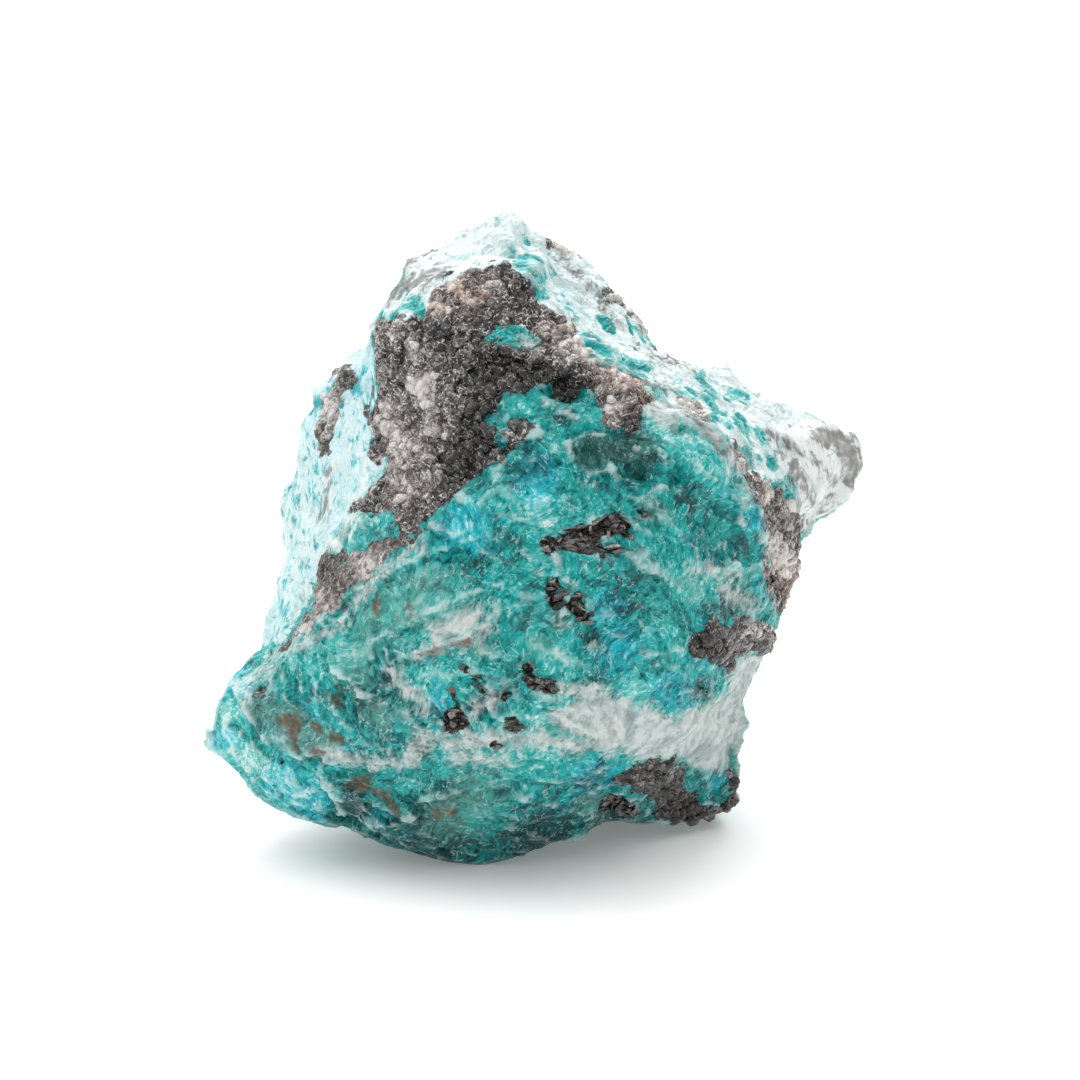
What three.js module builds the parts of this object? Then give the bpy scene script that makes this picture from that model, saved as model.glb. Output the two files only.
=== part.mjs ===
// A raw hand specimen of amazonite: teal microcline feldspar grown together with smoky quartz, in one piece.
// Millimetres, +Z up. The stone rests on a small broken facet. The origin is on the surface that it rests on,
// under the middle of the stone's box. -Y is the side of the broad teal cleavage face, +X the side with the
// horn, -X the pale cleavage side.

import * as THREE from "three";
import { ConvexHull } from "three/addons/math/ConvexHull.js";
import { ImprovedNoise } from "three/addons/math/ImprovedNoise.js";

// ---- driving dimensions -------------------------------------------------------------------------------

const CORE = new THREE.Vector3(-1, 1, 20); // every corner of the stone is in plain sight of this inner point
const CHIP = 1; // least distance between the points of the broken surface
const CHIP_TRIALS = 9; // tries for a point on each square millimetre
const RIDGE_ANGLE = 14; // degrees between two faces from which their common edge is kept as a ridge
const RANDOM_SEED = 7;
const SWELL_PERIOD = 11; // wide unevenness of the broken faces
const SWELL_RISE = 0.6;
const KNOB_PERIOD = 4.2; // lumps and pits between the crystals
const KNOB_RISE = 0.5;
const GRAIN = new THREE.Vector3(0.86, 0.1, -0.5).normalize(); // the lumps are drawn out this way
const GRAIN_STRETCH = 2.2;
const LEDGE_STEP = 3.2; // spacing of the cleavage ledges, across the cleavage
const LEDGE_RISE = 0.6;
const CLEAVAGE = new THREE.Vector3(0.45, -0.3, 0.84).normalize(); // direction that the crystals part across
const CALM_HEIGHT = 2.5; // the roughness fades out over this height above the resting facet
const TEAL_FACING = new THREE.Vector3(-0.05, -0.97, -0.1).normalize(); // the broad teal face looks this way
const TEAL_CALM = 0.6; // it is a cleavage, so this share of the roughness is missing on it
const QUARTZ_STEP = new THREE.Vector3(-0.8, 1.5, 0.7); // from the proud teal edge to the quartz behind it

// ---- corners of the stone -----------------------------------------------------------------------------
// The broken faces run flat between ridges. Each ridge is a row of corners, left to right or top to bottom.

// The skyline: from the left shoulder over the peak and down the back of the right slope to the horn.
const skyline = [
  [-10.5, 5, 46.5], [-8, 6, 48], [-5.5, 6.5, 48.5], [-4, 7, 49.5], [-2.4, 6.5, 49.8], [-0.8, 6.5, 48],
  [2, 9, 46.3], [3.6, 10, 45.1], [4.8, 10, 43.9], [5.8, 10.5, 41.8], [7.7, 11, 40.2], [9.3, 11.5, 37.3],
  [11.4, 12, 36.2], [15, 12, 35.8], [17, 11.5, 34.3], [20.3, 12, 32.5], [24, 13.5, 31.2],
  [25.8, 14.5, 30], [26.7, 15, 27.5],
];

// The upper rim of the smoky quartz face, below the skyline.
const quartzRim = [
  [-10.2, -2, 44.5], [-7, -3.5, 46.3], [-4.7, -4, 46.9], [-3, -3.5, 47.5], [-0.8, -3.5, 45.5],
  [1, -6, 43.5], [2.3, -8.5, 42],
];

// The ridge between the front faces and the right slope, down to the waist of the right side.
const frontRidge = [
  [1.5, -10, 41], [3.8, -10, 40.6], [6.2, -10, 40.3], [7.7, -11.5, 38.4], [9.6, -13, 35.6],
  [12.3, -11.5, 36], [14.3, -10.5, 34.6], [15.9, -10, 31.7], [16.4, -10, 29.3], [17.3, -8.5, 26.2],
  [17.6, -8, 23.6], [17.4, -7.5, 21.5],
];

// The ridge between the pale left side and the quartz face.
const leftRidge = [
  [-12.1, -3, 42], [-12.7, -3.5, 39.8], [-12.5, -4, 38], [-13.1, -4.5, 35.2], [-13.6, -5, 32.5],
  [-14.9, -5.5, 28.6], [-16.1, -5, 25.7], [-17.5, -4.5, 22.3], [-18.6, -4, 19], [-20.2, -4, 16.6],
];

// The upper left edge of the big teal cleavage face, which stands proud of the quartz.
const tealEdge = [
  [-22.8, -10, 15.4], [-20.4, -11.3, 17.3], [-18.6, -12, 19.5], [-15.5, -13, 22.5], [-13.1, -13.5, 25.4],
  [-11.1, -14.5, 27.3], [-8.8, -16, 29.6], [-7.6, -16, 31.2], [-4.2, -16.5, 32.5], [-3.4, -16, 33.5],
  [-0.4, -14.5, 35.5],
];

// The foot of the step down from the middle of the teal edge to the quartz.
const quartzStep = tealEdge.slice(3, 10).map(([x, y, z]) => {
  return [x + QUARTZ_STEP.x, y + QUARTZ_STEP.y, z + QUARTZ_STEP.z];
});

// The quartz face leans back from that step to its own rim.
const quartzFace = [
  [-8.5, -7.5, 43], [-3, -7.5, 44.6], [-1.5, -9.5, 41.9], [-7.7, -10, 38], [0.8, -12.5, 38.6],
  [-8.4, -13, 34], [-3.8, -14.5, 35.5], [-11.2, -11.5, 29.7],
];

// The big teal face bulges a little in the middle and turns under towards the foot.
const tealFace = [
  [4.6, -15.5, 33.8], [9.2, -15, 32.5], [13, -13.5, 31], [1.5, -19.5, 27.8], [7.6, -18, 27.4],
  [12.3, -14.5, 25], [-9.2, -17.5, 24], [-15.4, -15.3, 18.5], [-4.6, -20, 20.8], [2.3, -20, 20],
  [7.6, -18.5, 20.4], [12.4, -14, 17.6], [-10.7, -17.5, 14.6], [-3.1, -19.5, 13.6], [4.6, -18, 13],
  [10.9, -13, 11.7], [-7.8, -15, 7.4], [-0.8, -15, 7.4], [4.7, -13, 7.6], [9.4, -9, 6.8],
];

// The right edge of the teal face steps in below the waist and runs down to the right foot.
const rightEdge = [
  [18.8, -1, 18.5], [18.4, 0, 16.9], [18.1, 0, 15], [16.9, 0, 13.2], [15.9, -1, 11.5], [14.9, -2, 9.3],
  [15.3, 0, 5.8], [16, 1, 3.7], [15.9, 2, 1.9],
];

// The lower edge, from the blade at the left of the foot to the right foot.
const lowerEdge = [
  [-15.2, -12.5, 7], [-12.9, -11.5, 3.8], [-11, -10.5, 2.4], [-7.9, -9.5, 1], [-2.2, -9, 0.8],
  [1.6, -8.5, 2.2], [4.8, -7, 3], [8.8, -4, 2.4], [12.5, 0, 1],
];

// The belly between the left foot and the right foot stands clear of the surface.
const belly = [[0.5, -4, 1.6], [4, -2, 2.2], [8, 0, 1.8]];

// The lobe that sticks out low on the left: the front edge of its flat face, then the rim behind that edge.
const lobe = [
  [-24.3, -9, 12.6], [-22.9, -10, 10.2], [-21.5, -10.2, 7.8], [-19.4, -9.6, 5.1], [-16.9, -9.2, 3.8],
  [-25.3, -4, 13.8], [-25.7, -4.5, 10], [-26.4, -4, 9], [-25.4, -4.5, 7.5], [-23, -6, 5.4],
  [-19.8, -6.5, 3.3], [-17, -6.5, 2.3], [-14.8, -8.5, 3.7], [-19.4, -13.4, 12.4], [-19, -11.8, 8],
  [-16.3, -14, 9.8], [-24.2, 0, 14], [-22.2, 2.5, 14.6], [-23.5, 3, 9], [-20, 3, 5],
];

// The far edge of the pale left side.
const leftEdge = [
  [-12.3, 4, 43], [-13.2, 5.5, 40], [-15.7, 8, 36.5], [-18.4, 10, 33.5], [-19.5, 11, 31.3],
  [-19.9, 11.5, 28], [-21, 11, 24], [-21.4, 10, 20.3], [-21, 9, 17.2], [-20.4, 5, 15],
];

// The right slope, from the peak to the horn.
const rightSlope = [
  [-4.7, 2.5, 47.8], [-1.2, 1, 46.7], [1.6, 3, 44], [4.7, 2, 42], [7.9, 3, 39.6], [9.4, -4, 38],
  [12.6, 0, 36.2], [16, 4, 34], [15.3, -4, 34.3], [19, 3, 32], [18, -3, 30], [21.8, 8, 30.8],
  [20.8, 3, 27.8], [24, 11, 27.6], [24.9, 12, 25.7],
];

// The flank under the horn.
const rightFlank = [
  [20.3, 2, 24.8], [20.7, 7, 21.7], [21.5, 10.5, 22], [24, 13, 24], [25.3, 14, 25.4], [18.2, -4.5, 23.8],
  [20.2, 2, 20.7],
];

// The back is one broken surface with a few blunt ridges.
const back = [
  [-6, 12, 44], [1, 15, 42], [8, 17, 36], [14, 18, 31], [20, 19, 28], [23.4, 18, 26], [20.8, 17, 20.6],
  [16.6, 19, 15], [15.4, 16, 8], [14.4, 11, 2.5], [0, 21, 34], [7, 23, 25], [8, 22, 14], [-2, 23.5, 24],
  [-10, 19.5, 31], [-12, 20, 20], [-3, 22, 12], [-14, 17, 10], [-18, 15, 26], [-13, 15, 38],
  [-19, 12, 15], [-17, 9, 6], [-10, 15, 3], [0, 18, 4], [8, 16, 3],
];

// The resting facet, flat on the surface. It is the one face that isn't broken up.
const foot = [
  [-7.5, -7.5, 0], [-4.7, -8.5, 0], [-2.5, -7, 0], [-0.5, -1, 0], [4, 3, 0], [9, 4, 0], [12.7, 4, 0],
  [14, 7, 0], [10, 11, 0], [-2, 14, 0], [-10, 9, 0], [-10.5, 0, 0],
];

// Single lumps (rise above 0) and hollows (rise below 0) that stand out from the rest.
const lumpsAndHollows = [
  { at: [12.3, -11.8, 35.6], reach: 2.6, rise: 0.9 }, // blocky hump at the shoulder of the teal face
  { at: [1.8, -11.5, 39.6], reach: 1.5, rise: -1.5 }, // dark cavity under the front ridge
  { at: [-0.9, -3.2, 46], reach: 1.9, rise: 0.8 }, // bright crystal beside the peak
  { at: [18.2, -6.2, 24.6], reach: 1.5, rise: -1.3 }, // hollow in the right-hand quartz
  { at: [18.6, -5, 26.6], reach: 1.2, rise: 0.8 }, // white lump above it
  { at: [19.6, 3, 33.2], reach: 3, rise: 0.7 }, // swelling below the horn
  { at: [-14.8, -8.5, 3.4], reach: 2.4, rise: -1.2 }, // notch between the lobe and the foot
  { at: [-10, -13.4, 30.8], reach: 2.4, rise: -0.8 }, // quartz sunk behind the teal edge
  { at: [-5.2, -15.2, 34.6], reach: 2.2, rise: -0.7 }, // smooth quartz sunk behind the teal edge
  { at: [3.6, -18.4, 30.4], reach: 2.2, rise: -0.6 }, // mica pocket in the teal face
  { at: [-20, -11.8, 13.2], reach: 2, rise: -0.6 }, // rusty pocket in the lobe
  { at: [-14.2, -13.6, 8.6], reach: 2, rise: -0.6 }, // rusty pocket above the blade
  { at: [14.6, -8, 17.6], reach: 2.8, rise: -0.7 }, // dark quartz below the waist
  { at: [10.6, -8.6, 4.8], reach: 3, rise: -0.6 }, // dark quartz above the right foot
];

// ---- the stone ----------------------------------------------------------------------------------------

// Seen from the core the points lie on a ball, and the ball's hull tells which three of them share a face.
function facesBetween(points) {
  const pointOf = new Map();
  for (const point of points) {
    pointOf.set(point.clone().sub(CORE).normalize(), point);
  }
  const hull = new ConvexHull().setFromPoints([...pointOf.keys()]);
  return hull.faces.map(({ edge }) => {
    const sides = [edge, edge.next, edge.next.next];
    return sides.map((side) => pointOf.get(side.head().point));
  });
}

// Points along every edge where two faces meet at an angle, so that the ridges stay sharp.
function ridgePoints(faces) {
  const normalsBeside = new Map();
  for (const face of faces) {
    const normal = new THREE.Triangle(...face).getNormal(new THREE.Vector3());
    for (let i = 0; i < 3; i += 1) {
      const ends = [face[i], face[(i + 1) % 3]].sort((a, b) => a.x - b.x || a.y - b.y || a.z - b.z);
      const name = ends.map((end) => end.toArray()).join();
      const ridge = normalsBeside.get(name) ?? { ends, normals: [] };
      ridge.normals.push(normal);
      normalsBeside.set(name, ridge);
    }
  }
  const points = [];
  for (const { ends: [start, end], normals } of normalsBeside.values()) {
    const angle = THREE.MathUtils.radToDeg(normals[0].angleTo(normals[1]));
    const steps = angle < RIDGE_ANGLE ? 0 : Math.round(start.distanceTo(end) / CHIP);
    for (let i = 1; i < steps; i += 1) {
      points.push(start.clone().lerp(end, i / steps));
    }
  }
  return points;
}

// Points strewn over a flat face at random, many more than are kept.
function strewnPoints([a, b, c]) {
  const tries = Math.ceil(new THREE.Triangle(a, b, c).getArea() * CHIP_TRIALS);
  return Array.from({ length: tries }, () => {
    const across = Math.sqrt(THREE.MathUtils.seededRandom());
    const along = THREE.MathUtils.seededRandom();
    return a.clone().lerp(b.clone().lerp(c, along), across);
  });
}

const noise = new ImprovedNoise();

// Three octaves of smooth noise, about -1 to 1.
function roughness(point, period) {
  let sum = 0;
  let weight = 1;
  let scale = 1 / period;
  for (let octave = 0; octave < 3; octave += 1) {
    sum += weight * noise.noise(point.x * scale + 17 * octave, point.y * scale, point.z * scale);
    weight /= 2;
    scale *= 2;
  }
  return sum;
}

// Squeezes space along the grain, so that what is drawn in it comes out stretched.
function squeezed(point) {
  return point.clone().addScaledVector(GRAIN, point.dot(GRAIN) * (1 / GRAIN_STRETCH - 1));
}

// Ledges: the surface climbs slowly across the cleavage and drops back at each parting.
function ledges(point) {
  const across = point.dot(CLEAVAGE) / LEDGE_STEP + roughness(point, SWELL_PERIOD);
  return across - Math.floor(across) - 0.5;
}

function singleForms(point) {
  let sum = 0;
  for (const { at, reach, rise } of lumpsAndHollows) {
    const away = point.distanceTo(new THREE.Vector3(...at)) / reach;
    sum += rise * Math.exp(-away * away);
  }
  return sum;
}

// Breaks the flat faces up into lumps, pits and ledges, each point moved along the stone's own normal.
function weather(geometry) {
  geometry.computeVertexNormals();
  const position = geometry.getAttribute("position");
  const normal = geometry.getAttribute("normal");
  const point = new THREE.Vector3();
  const outward = new THREE.Vector3();
  for (let i = 0; i < position.count; i += 1) {
    point.fromBufferAttribute(position, i);
    outward.fromBufferAttribute(normal, i);
    const rise = SWELL_RISE * roughness(point, SWELL_PERIOD)
      + KNOB_RISE * roughness(squeezed(point), KNOB_PERIOD)
      + LEDGE_RISE * ledges(point)
      + singleForms(point);
    const aboveFoot = THREE.MathUtils.smoothstep(point.z, 0, CALM_HEIGHT);
    const onTealFace = THREE.MathUtils.smoothstep(outward.dot(TEAL_FACING), 0.6, 0.95);
    point.addScaledVector(outward, rise * aboveFoot * (1 - TEAL_CALM * onTealFace));
    position.setXYZ(i, point.x, point.y, point.z);
  }
  geometry.deleteAttribute("normal");
}

function stoneGeometry() {
  const corners = [
    ...skyline, ...quartzRim, ...frontRidge, ...leftRidge, ...tealEdge, ...quartzStep, ...quartzFace,
    ...tealFace, ...rightEdge, ...lowerEdge, ...belly, ...lobe, ...leftEdge, ...rightSlope, ...rightFlank,
    ...back, ...foot,
  ].map(([x, y, z]) => new THREE.Vector3(x, y, z));
  const flatFaces = facesBetween(corners);
  const brokenFaces = flatFaces.filter((face) => face.some((corner) => corner.z > 0));
  const points = [...corners, ...ridgePoints(flatFaces)];
  THREE.MathUtils.seededRandom(RANDOM_SEED);
  for (const point of brokenFaces.flatMap(strewnPoints)) {
    if (points.every((other) => other.distanceTo(point) > CHIP)) {
      points.push(point);
    }
  }
  const numberOf = new Map(points.map((point, i) => [point, i]));
  const geometry = new THREE.BufferGeometry().setFromPoints(points);
  geometry.setIndex(facesBetween(points).flatMap((face) => face.map((point) => numberOf.get(point))));
  weather(geometry);
  geometry.computeBoundingBox();
  const middle = geometry.boundingBox.getCenter(new THREE.Vector3());
  return geometry.translate(-middle.x, -middle.y, -geometry.boundingBox.min.z);
}

const amazonite = new THREE.Mesh(
  stoneGeometry(),
  new THREE.MeshStandardMaterial({ color: 0x4fa6a8, roughness: 0.55, metalness: 0 }),
);
amazonite.name = "amazonite";

const specimen = new THREE.Group();
specimen.add(amazonite);

export default specimen;
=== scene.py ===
import math

import bpy
import numpy as np
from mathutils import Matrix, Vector


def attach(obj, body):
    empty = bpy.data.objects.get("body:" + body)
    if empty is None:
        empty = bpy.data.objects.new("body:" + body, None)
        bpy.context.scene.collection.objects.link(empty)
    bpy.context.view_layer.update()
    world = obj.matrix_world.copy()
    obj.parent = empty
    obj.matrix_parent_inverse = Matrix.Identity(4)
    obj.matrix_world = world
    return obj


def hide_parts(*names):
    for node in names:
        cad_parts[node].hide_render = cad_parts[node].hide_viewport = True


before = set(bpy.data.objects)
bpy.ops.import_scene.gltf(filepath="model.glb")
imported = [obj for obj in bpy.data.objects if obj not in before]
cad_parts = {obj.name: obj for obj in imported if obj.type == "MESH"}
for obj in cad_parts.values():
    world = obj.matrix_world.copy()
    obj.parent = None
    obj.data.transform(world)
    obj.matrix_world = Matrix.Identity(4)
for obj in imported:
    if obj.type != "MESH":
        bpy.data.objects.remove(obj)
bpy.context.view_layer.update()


# ---- camera -------------------------------------------------------------------------------------------
# The specimen is looked at from its teal cleavage face, a little from above, with a long lens. The markings
# below are placed in this view, so its directions are worked out here.

MM = 0.001  # of a metre
VIEW_CENTRE = np.array([-0.08, -2.01, 24.45])  # mm, the middle of the stone as it is seen
VIEW_DISTANCE = 420.0  # mm
VIEW_ELEVATION = math.radians(14)
LENS = 176.12  # mm
SENSOR = 36.0  # mm
NEAREST_SEEN = 0.01  # m

view_ahead = np.array([0, math.cos(VIEW_ELEVATION), -math.sin(VIEW_ELEVATION)])
view_across = np.array([1.0, 0, 0])
view_up = np.array([0, math.sin(VIEW_ELEVATION), math.cos(VIEW_ELEVATION)])
eye = VIEW_CENTRE - view_ahead * VIEW_DISTANCE

camera_data = bpy.data.cameras.new("camera")
camera_data.lens = LENS
camera_data.sensor_width = SENSOR
camera_data.clip_start = NEAREST_SEEN
camera = bpy.data.objects.new("camera", camera_data)
camera.location = Vector(eye * MM)
camera.rotation_euler = (math.pi / 2 - VIEW_ELEVATION, 0, 0)
bpy.context.scene.collection.objects.link(camera)
bpy.context.scene.camera = camera


# ---- the stone's body ---------------------------------------------------------------------------------
# One broken lump of teal microcline feldspar with smoky quartz, white albite and dark mica grown into it.
# It starts from the solid, is meshed finely, and each mineral then gets the relief that it breaks with.

BODY_VOXEL = 0.33  # mm
BODY_SOFTENING = 6  # rounds of smoothing, which take the solid's flat triangles off
CLOSE_POINTS = 0.001  # mm, points nearer than this are merged, since the solid's triangles are loose

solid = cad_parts["amazonite"]
body = solid.copy()
body.data = solid.data.copy()
body.parent = None
body.name = "amazonite_body"
bpy.context.scene.collection.objects.link(body)
bpy.context.view_layer.objects.active = body


def apply_modifiers(piece):
    """The piece gets the mesh that its modifiers make, and loses them."""
    seen = piece.evaluated_get(bpy.context.evaluated_depsgraph_get())
    mesh = bpy.data.meshes.new_from_object(seen)
    piece.modifiers.clear()
    piece.data = mesh


weld = body.modifiers.new("weld", "WELD")
weld.merge_threshold = CLOSE_POINTS * MM
remesh = body.modifiers.new("remesh", "REMESH")
remesh.mode = "VOXEL"
remesh.voxel_size = BODY_VOXEL * MM
soften = body.modifiers.new("soften", "SMOOTH")
soften.factor = 0.5
soften.iterations = BODY_SOFTENING
apply_modifiers(body)


def positions(mesh):
    """The mesh's points, in mm."""
    flat = np.empty(len(mesh.vertices) * 3)
    mesh.vertices.foreach_get("co", flat)
    return flat.reshape(-1, 3) / MM


def normals(mesh):
    """The way that each of the mesh's points faces."""
    flat = np.empty(len(mesh.vertices) * 3)
    mesh.vertex_normals.foreach_get("vector", flat)
    return flat.reshape(-1, 3)


point = positions(body.data)
outward = normals(body.data)

# Where each point is in the front view, in mm across and up from its middle, and how much it faces it.
sight = point - eye
depth = sight @ view_ahead
spot = np.stack([sight @ view_across, sight @ view_up], 1) * (VIEW_DISTANCE / depth)[:, None]
facing = -(outward * sight).sum(1) / np.linalg.norm(sight, axis=1)
VERY_FAR = 1e9  # mm


def smoothstep(low, high, value):
    """A soft step from 0 to 1 while the value goes from low to high."""
    t = np.clip((value - low) / (high - low), 0, 1)
    return t * t * (3 - 2 * t)


def offset_from(start, end):
    """In the front view, from the nearest place on a line to each point, in mm."""
    along = end - start
    t = np.clip((spot - start) @ along / (along @ along), 0, 1)
    return spot - start - t[:, None] * along


def outline(corners):
    """How far each point lies inside a closed outline of the front view, in mm; below 0 outside."""
    corners = np.array(corners, float)
    nearest = np.full(len(spot), VERY_FAR)
    inside = np.zeros(len(spot), bool)
    for start, end in zip(corners, np.roll(corners, -1, 0)):
        along = end - start
        nearest = np.minimum(nearest, np.linalg.norm(offset_from(start, end), axis=1))
        crosses = (start[1] > spot[:, 1]) != (end[1] > spot[:, 1])
        level = along[1] if along[1] else 1
        inside ^= crosses & (spot[:, 0] < start[0] + (spot[:, 1] - start[1]) * along[0] / level)
    return np.where(inside, nearest, -nearest)


def strokes(lines):
    """The same for strokes of a given half width along lines of the front view."""
    best = np.full(len(spot), -VERY_FAR)
    for corners, half_width in lines:
        corners = np.array(corners, float)
        for start, end in zip(corners[:-1], corners[1:]):
            best = np.maximum(best, half_width - np.linalg.norm(offset_from(start, end), axis=1))
    return best


def patches(spots):
    """A soft sum of round patches of the front view: across, up, radius."""
    total = np.zeros(len(spot))
    for across, up, radius in spots:
        away = np.linalg.norm(spot - (across, up), axis=1) / radius
        total += np.exp(-away * away)
    return np.clip(total, 0, 1)


def random_at(lattice, seed):
    """Three random numbers from 0 to 1 for each whole-numbered place."""
    mixed = lattice @ np.array([127.1, 311.7, 74.7]) + 17.3 * seed
    mixed = np.stack([mixed, mixed * 1.31 + 5.1, mixed * 1.73 + 9.7], -1)
    return np.modf(np.abs(np.sin(mixed) * 43758.5453))[0]


def cells(places, seed):
    """For each place: the way to it from the nearest of the strewn cell centres, that cell's three random
    numbers, and how far the centre is. Cells are about 1 across."""
    base = np.floor(places)
    nearest = np.full(len(places), VERY_FAR)
    from_centre = np.zeros_like(places)
    number = np.zeros_like(places)
    for step in np.ndindex(3, 3, 3):
        lattice = base + np.array(step) - 1
        centre = lattice + random_at(lattice, seed)
        away = np.linalg.norm(places - centre, axis=1)
        nearer = away < nearest
        nearest = np.where(nearer, away, nearest)
        from_centre[nearer] = (places - centre)[nearer]
        number[nearer] = lattice[nearer]
    return from_centre, random_at(number, seed + 1), nearest


def rough(places, seed, octaves=3):
    """Smooth noise of about -1 to 1 with features about 1 across."""
    total = np.zeros(len(places))
    for octave in range(octaves):
        scaled = places * 2**octave + 7.7 * octave
        base = np.floor(scaled)
        part = scaled - base
        part = part * part * (3 - 2 * part)
        level = 0
        for corner in np.ndindex(2, 2, 2):
            weight = np.prod(np.where(corner, part, 1 - part), axis=1)
            level = level + weight * random_at(base + np.array(corner), seed + octave)[:, 0]
        total += (level - 0.5) * 2 / 2**octave
    return total


# The minerals in the front view, in mm across and up from its middle: an outline's corners, or strokes with
# their half width. First the smoky quartz, with the feldspar that is left in it.
QUARTZ_FACE = [
    (-13, 17.3), (-11.7, 17.8), (-10.5, 17.6), (-8.9, 19.4), (-7.1, 20.7), (-5.6, 21.4), (-4.1, 21.8),
    (-2.7, 21.8), (-1.7, 21.4), (-1, 20.7), (-0.5, 19.5), (0.2, 18.8), (1.5, 17.8), (2.9, 16.6),
    (4.1, 14.6), (5.2, 14.1), (6.5, 13.8), (7.9, 12.9), (8.6, 11.1), (8, 9.5), (7.5, 8.1), (6.3, 8.6),
    (5.2, 9.7), (4.5, 11.3), (3.3, 11.8), (2.1, 11), (0.6, 10.8), (-0.5, 11.3), (-1.6, 10.3), (-0.6, 8.7),
    (-1, 7.5), (-2.8, 7), (-4.3, 5.6), (-5.9, 4.3), (-7.6, 3.2), (-8.6, 1.6), (-9.9, 0), (-11, 1),
    (-12.3, 2.2), (-14.3, 2.2), (-15.1, 2.5), (-14.1, 3.5), (-13, 4.5), (-12.2, 5.6), (-13.6, 6.7),
    (-13.5, 9.1), (-13, 12.7), (-13, 15.1),
]
QUARTZ_STRIP = [
    (-20.5, -8.6), (-19.3, -7.2), (-18.4, -5.6), (-17.8, -4.2), (-17.5, -2.2), (-17, -1.3), (-14.9, -0.9),
    (-13.4, -0.6), (-11, 0.8), (-10, -0.1), (-11.1, -0.7), (-12.5, -1.7), (-14.3, -3.3), (-16.1, -4.8),
    (-18, -7.1), (-19.3, -7.8),
]
QUARTZ_RIGHT = [
    (14.7, 8.1), (15.3, 7.6), (16.5, 5.7), (17.9, 4.4), (19.5, 3.6), (20.6, 2.8), (21, 0), (20.9, -2.1),
    (20.2, -4), (19.6, -5.7), (18.7, -5.5), (18.1, -4.8), (17.6, -1.6), (17.5, 0.8), (16.9, 2.8),
    (16.7, 4.4), (16, 5.6), (14.9, 7.3),
]
QUARTZ_WAIST = [
    (11.5, -8.3), (12, -7.7), (13, -7.1), (13.4, -6.2), (14, -6.2), (14.1, -6.8), (15.1, -7.2),
    (15.3, -6.4), (16.1, -6.1), (17, -6.4), (18.1, -6.7), (18.8, -7.8), (18.8, -8.5), (17.8, -9),
    (16.6, -8.8), (15.7, -9.1), (15.5, -10), (15.1, -10.5), (14.3, -9.9), (13.3, -9.3), (12.1, -9.1),
]
QUARTZ_FOOT = [
    (5.1, -19.6), (5.7, -18.8), (6.7, -18.1), (7.9, -17.8), (8.9, -17.8), (10.8, -17.5), (11.4, -17.7),
    (11, -18.4), (11.2, -19.4), (12.1, -19.7), (12.6, -20.3), (13, -21.1), (14, -21.1), (14.6, -21),
    (14.9, -20.4), (15.3, -19.9), (15.3, -18.7), (15.7, -18.2), (16, -19.4), (15.8, -20.4), (15.2, -21.2),
    (14.5, -21.5), (13.8, -22.3), (12.8, -22.7), (11.7, -22.7), (10.7, -22.3), (9.5, -21.9), (8.9, -21.5),
    (9.1, -20.7), (8.3, -20.3), (7.5, -20.2), (7.1, -19.4), (6.1, -19.2),
]
QUARTZ_STREAKS = [
    ([(-15.5, 12.9), (-16.7, 10.2)], 0.79), ([(-17.1, 8.9), (-17.3, 7.2)], 0.56),
    ([(-14.1, 11), (-13.8, 10.2)], 0.32), ([(0.6, 23.5), (3, 22.7)], 0.4), ([(5.7, 19.6), (7, 18.9)], 0.48),
    ([(7.2, 17.9), (8.2, 17.1)], 0.4), ([(8.7, 16.7), (9.3, 15.8)], 0.4), ([(9.9, 15.3), (11, 14.4)], 0.4),
    ([(11.4, 10.6), (13, 9.8)], 0.48),
]
TEAL_IN_QUARTZ = [
    ([(-9.9, 18.4), (-9.5, 18.1)], 0.56), ([(-3.6, 9.1), (-1.2, 11)], 0.72),
    ([(-13.4, 1), (-13, 1.4)], 0.72), ([(-11.8, 1.6), (-11.5, 0.4)], 0.48),
    ([(-12.4, 6.2), (-14.9, 3.2)], 0.4), ([(-4.3, 9.6), (-2.6, 10.9), (0.6, 11.6)], 0.4),
    ([(-3.2, 7.6), (-3.6, 8.8)], 0.4),
]
TEAL_POCKET = [
    (-4.8, 15.8), (-4.1, 16.5), (-3.4, 17.1), (-2.6, 17.3), (-1.7, 16.9), (-0.8, 16.5), (0, 15.7),
    (-0.2, 15.3), (-1.4, 15.3), (-2.2, 15), (-3.2, 15.4), (-4.1, 15.6),
]
TEAL_CRYSTAL = [
    (-2.2, 22.1), (-1.6, 22.4), (-1, 22.3), (-0.3, 21.8), (0, 21), (0.1, 19.9), (0.5, 19.2), (0, 19),
    (-0.6, 19.7), (-1, 20.5), (-1.6, 21.1), (-2.1, 21.6),
]
# Dark mica.
MICA_CHAIN = [
    (0, 0), (0.4, 0.5), (1, 0.4), (1.3, -0.1), (1.7, 0.2), (2.1, 0.6), (2.7, 1), (3.4, 1.3), (4, 1),
    (4.5, 1.4), (5.1, 2), (5.7, 2.2), (6.3, 2), (6.8, 1.6), (7.2, 1), (7.2, 0.2), (6.7, 0.2), (6.1, 0.6),
    (5.6, 0.3), (4.9, 0.5), (4.6, -0.1), (5, -0.5), (5.7, -0.6), (6.7, -0.9), (5.7, -1.1), (4.8, -0.9),
    (4.1, -1.2), (3.2, -1.1), (2.5, -0.9), (1.8, -0.7), (1.4, -0.4), (1.1, -1), (0.4, -1.2), (0, -0.7),
]
MICA_DOT = [
    (2.4, -4.5), (2.9, -4), (3.2, -4.6), (3.6, -5.2), (4, -6.2), (3.7, -6.6), (2.9, -6.3), (2.5, -5.7),
    (2.2, -5.2),
]
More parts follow.
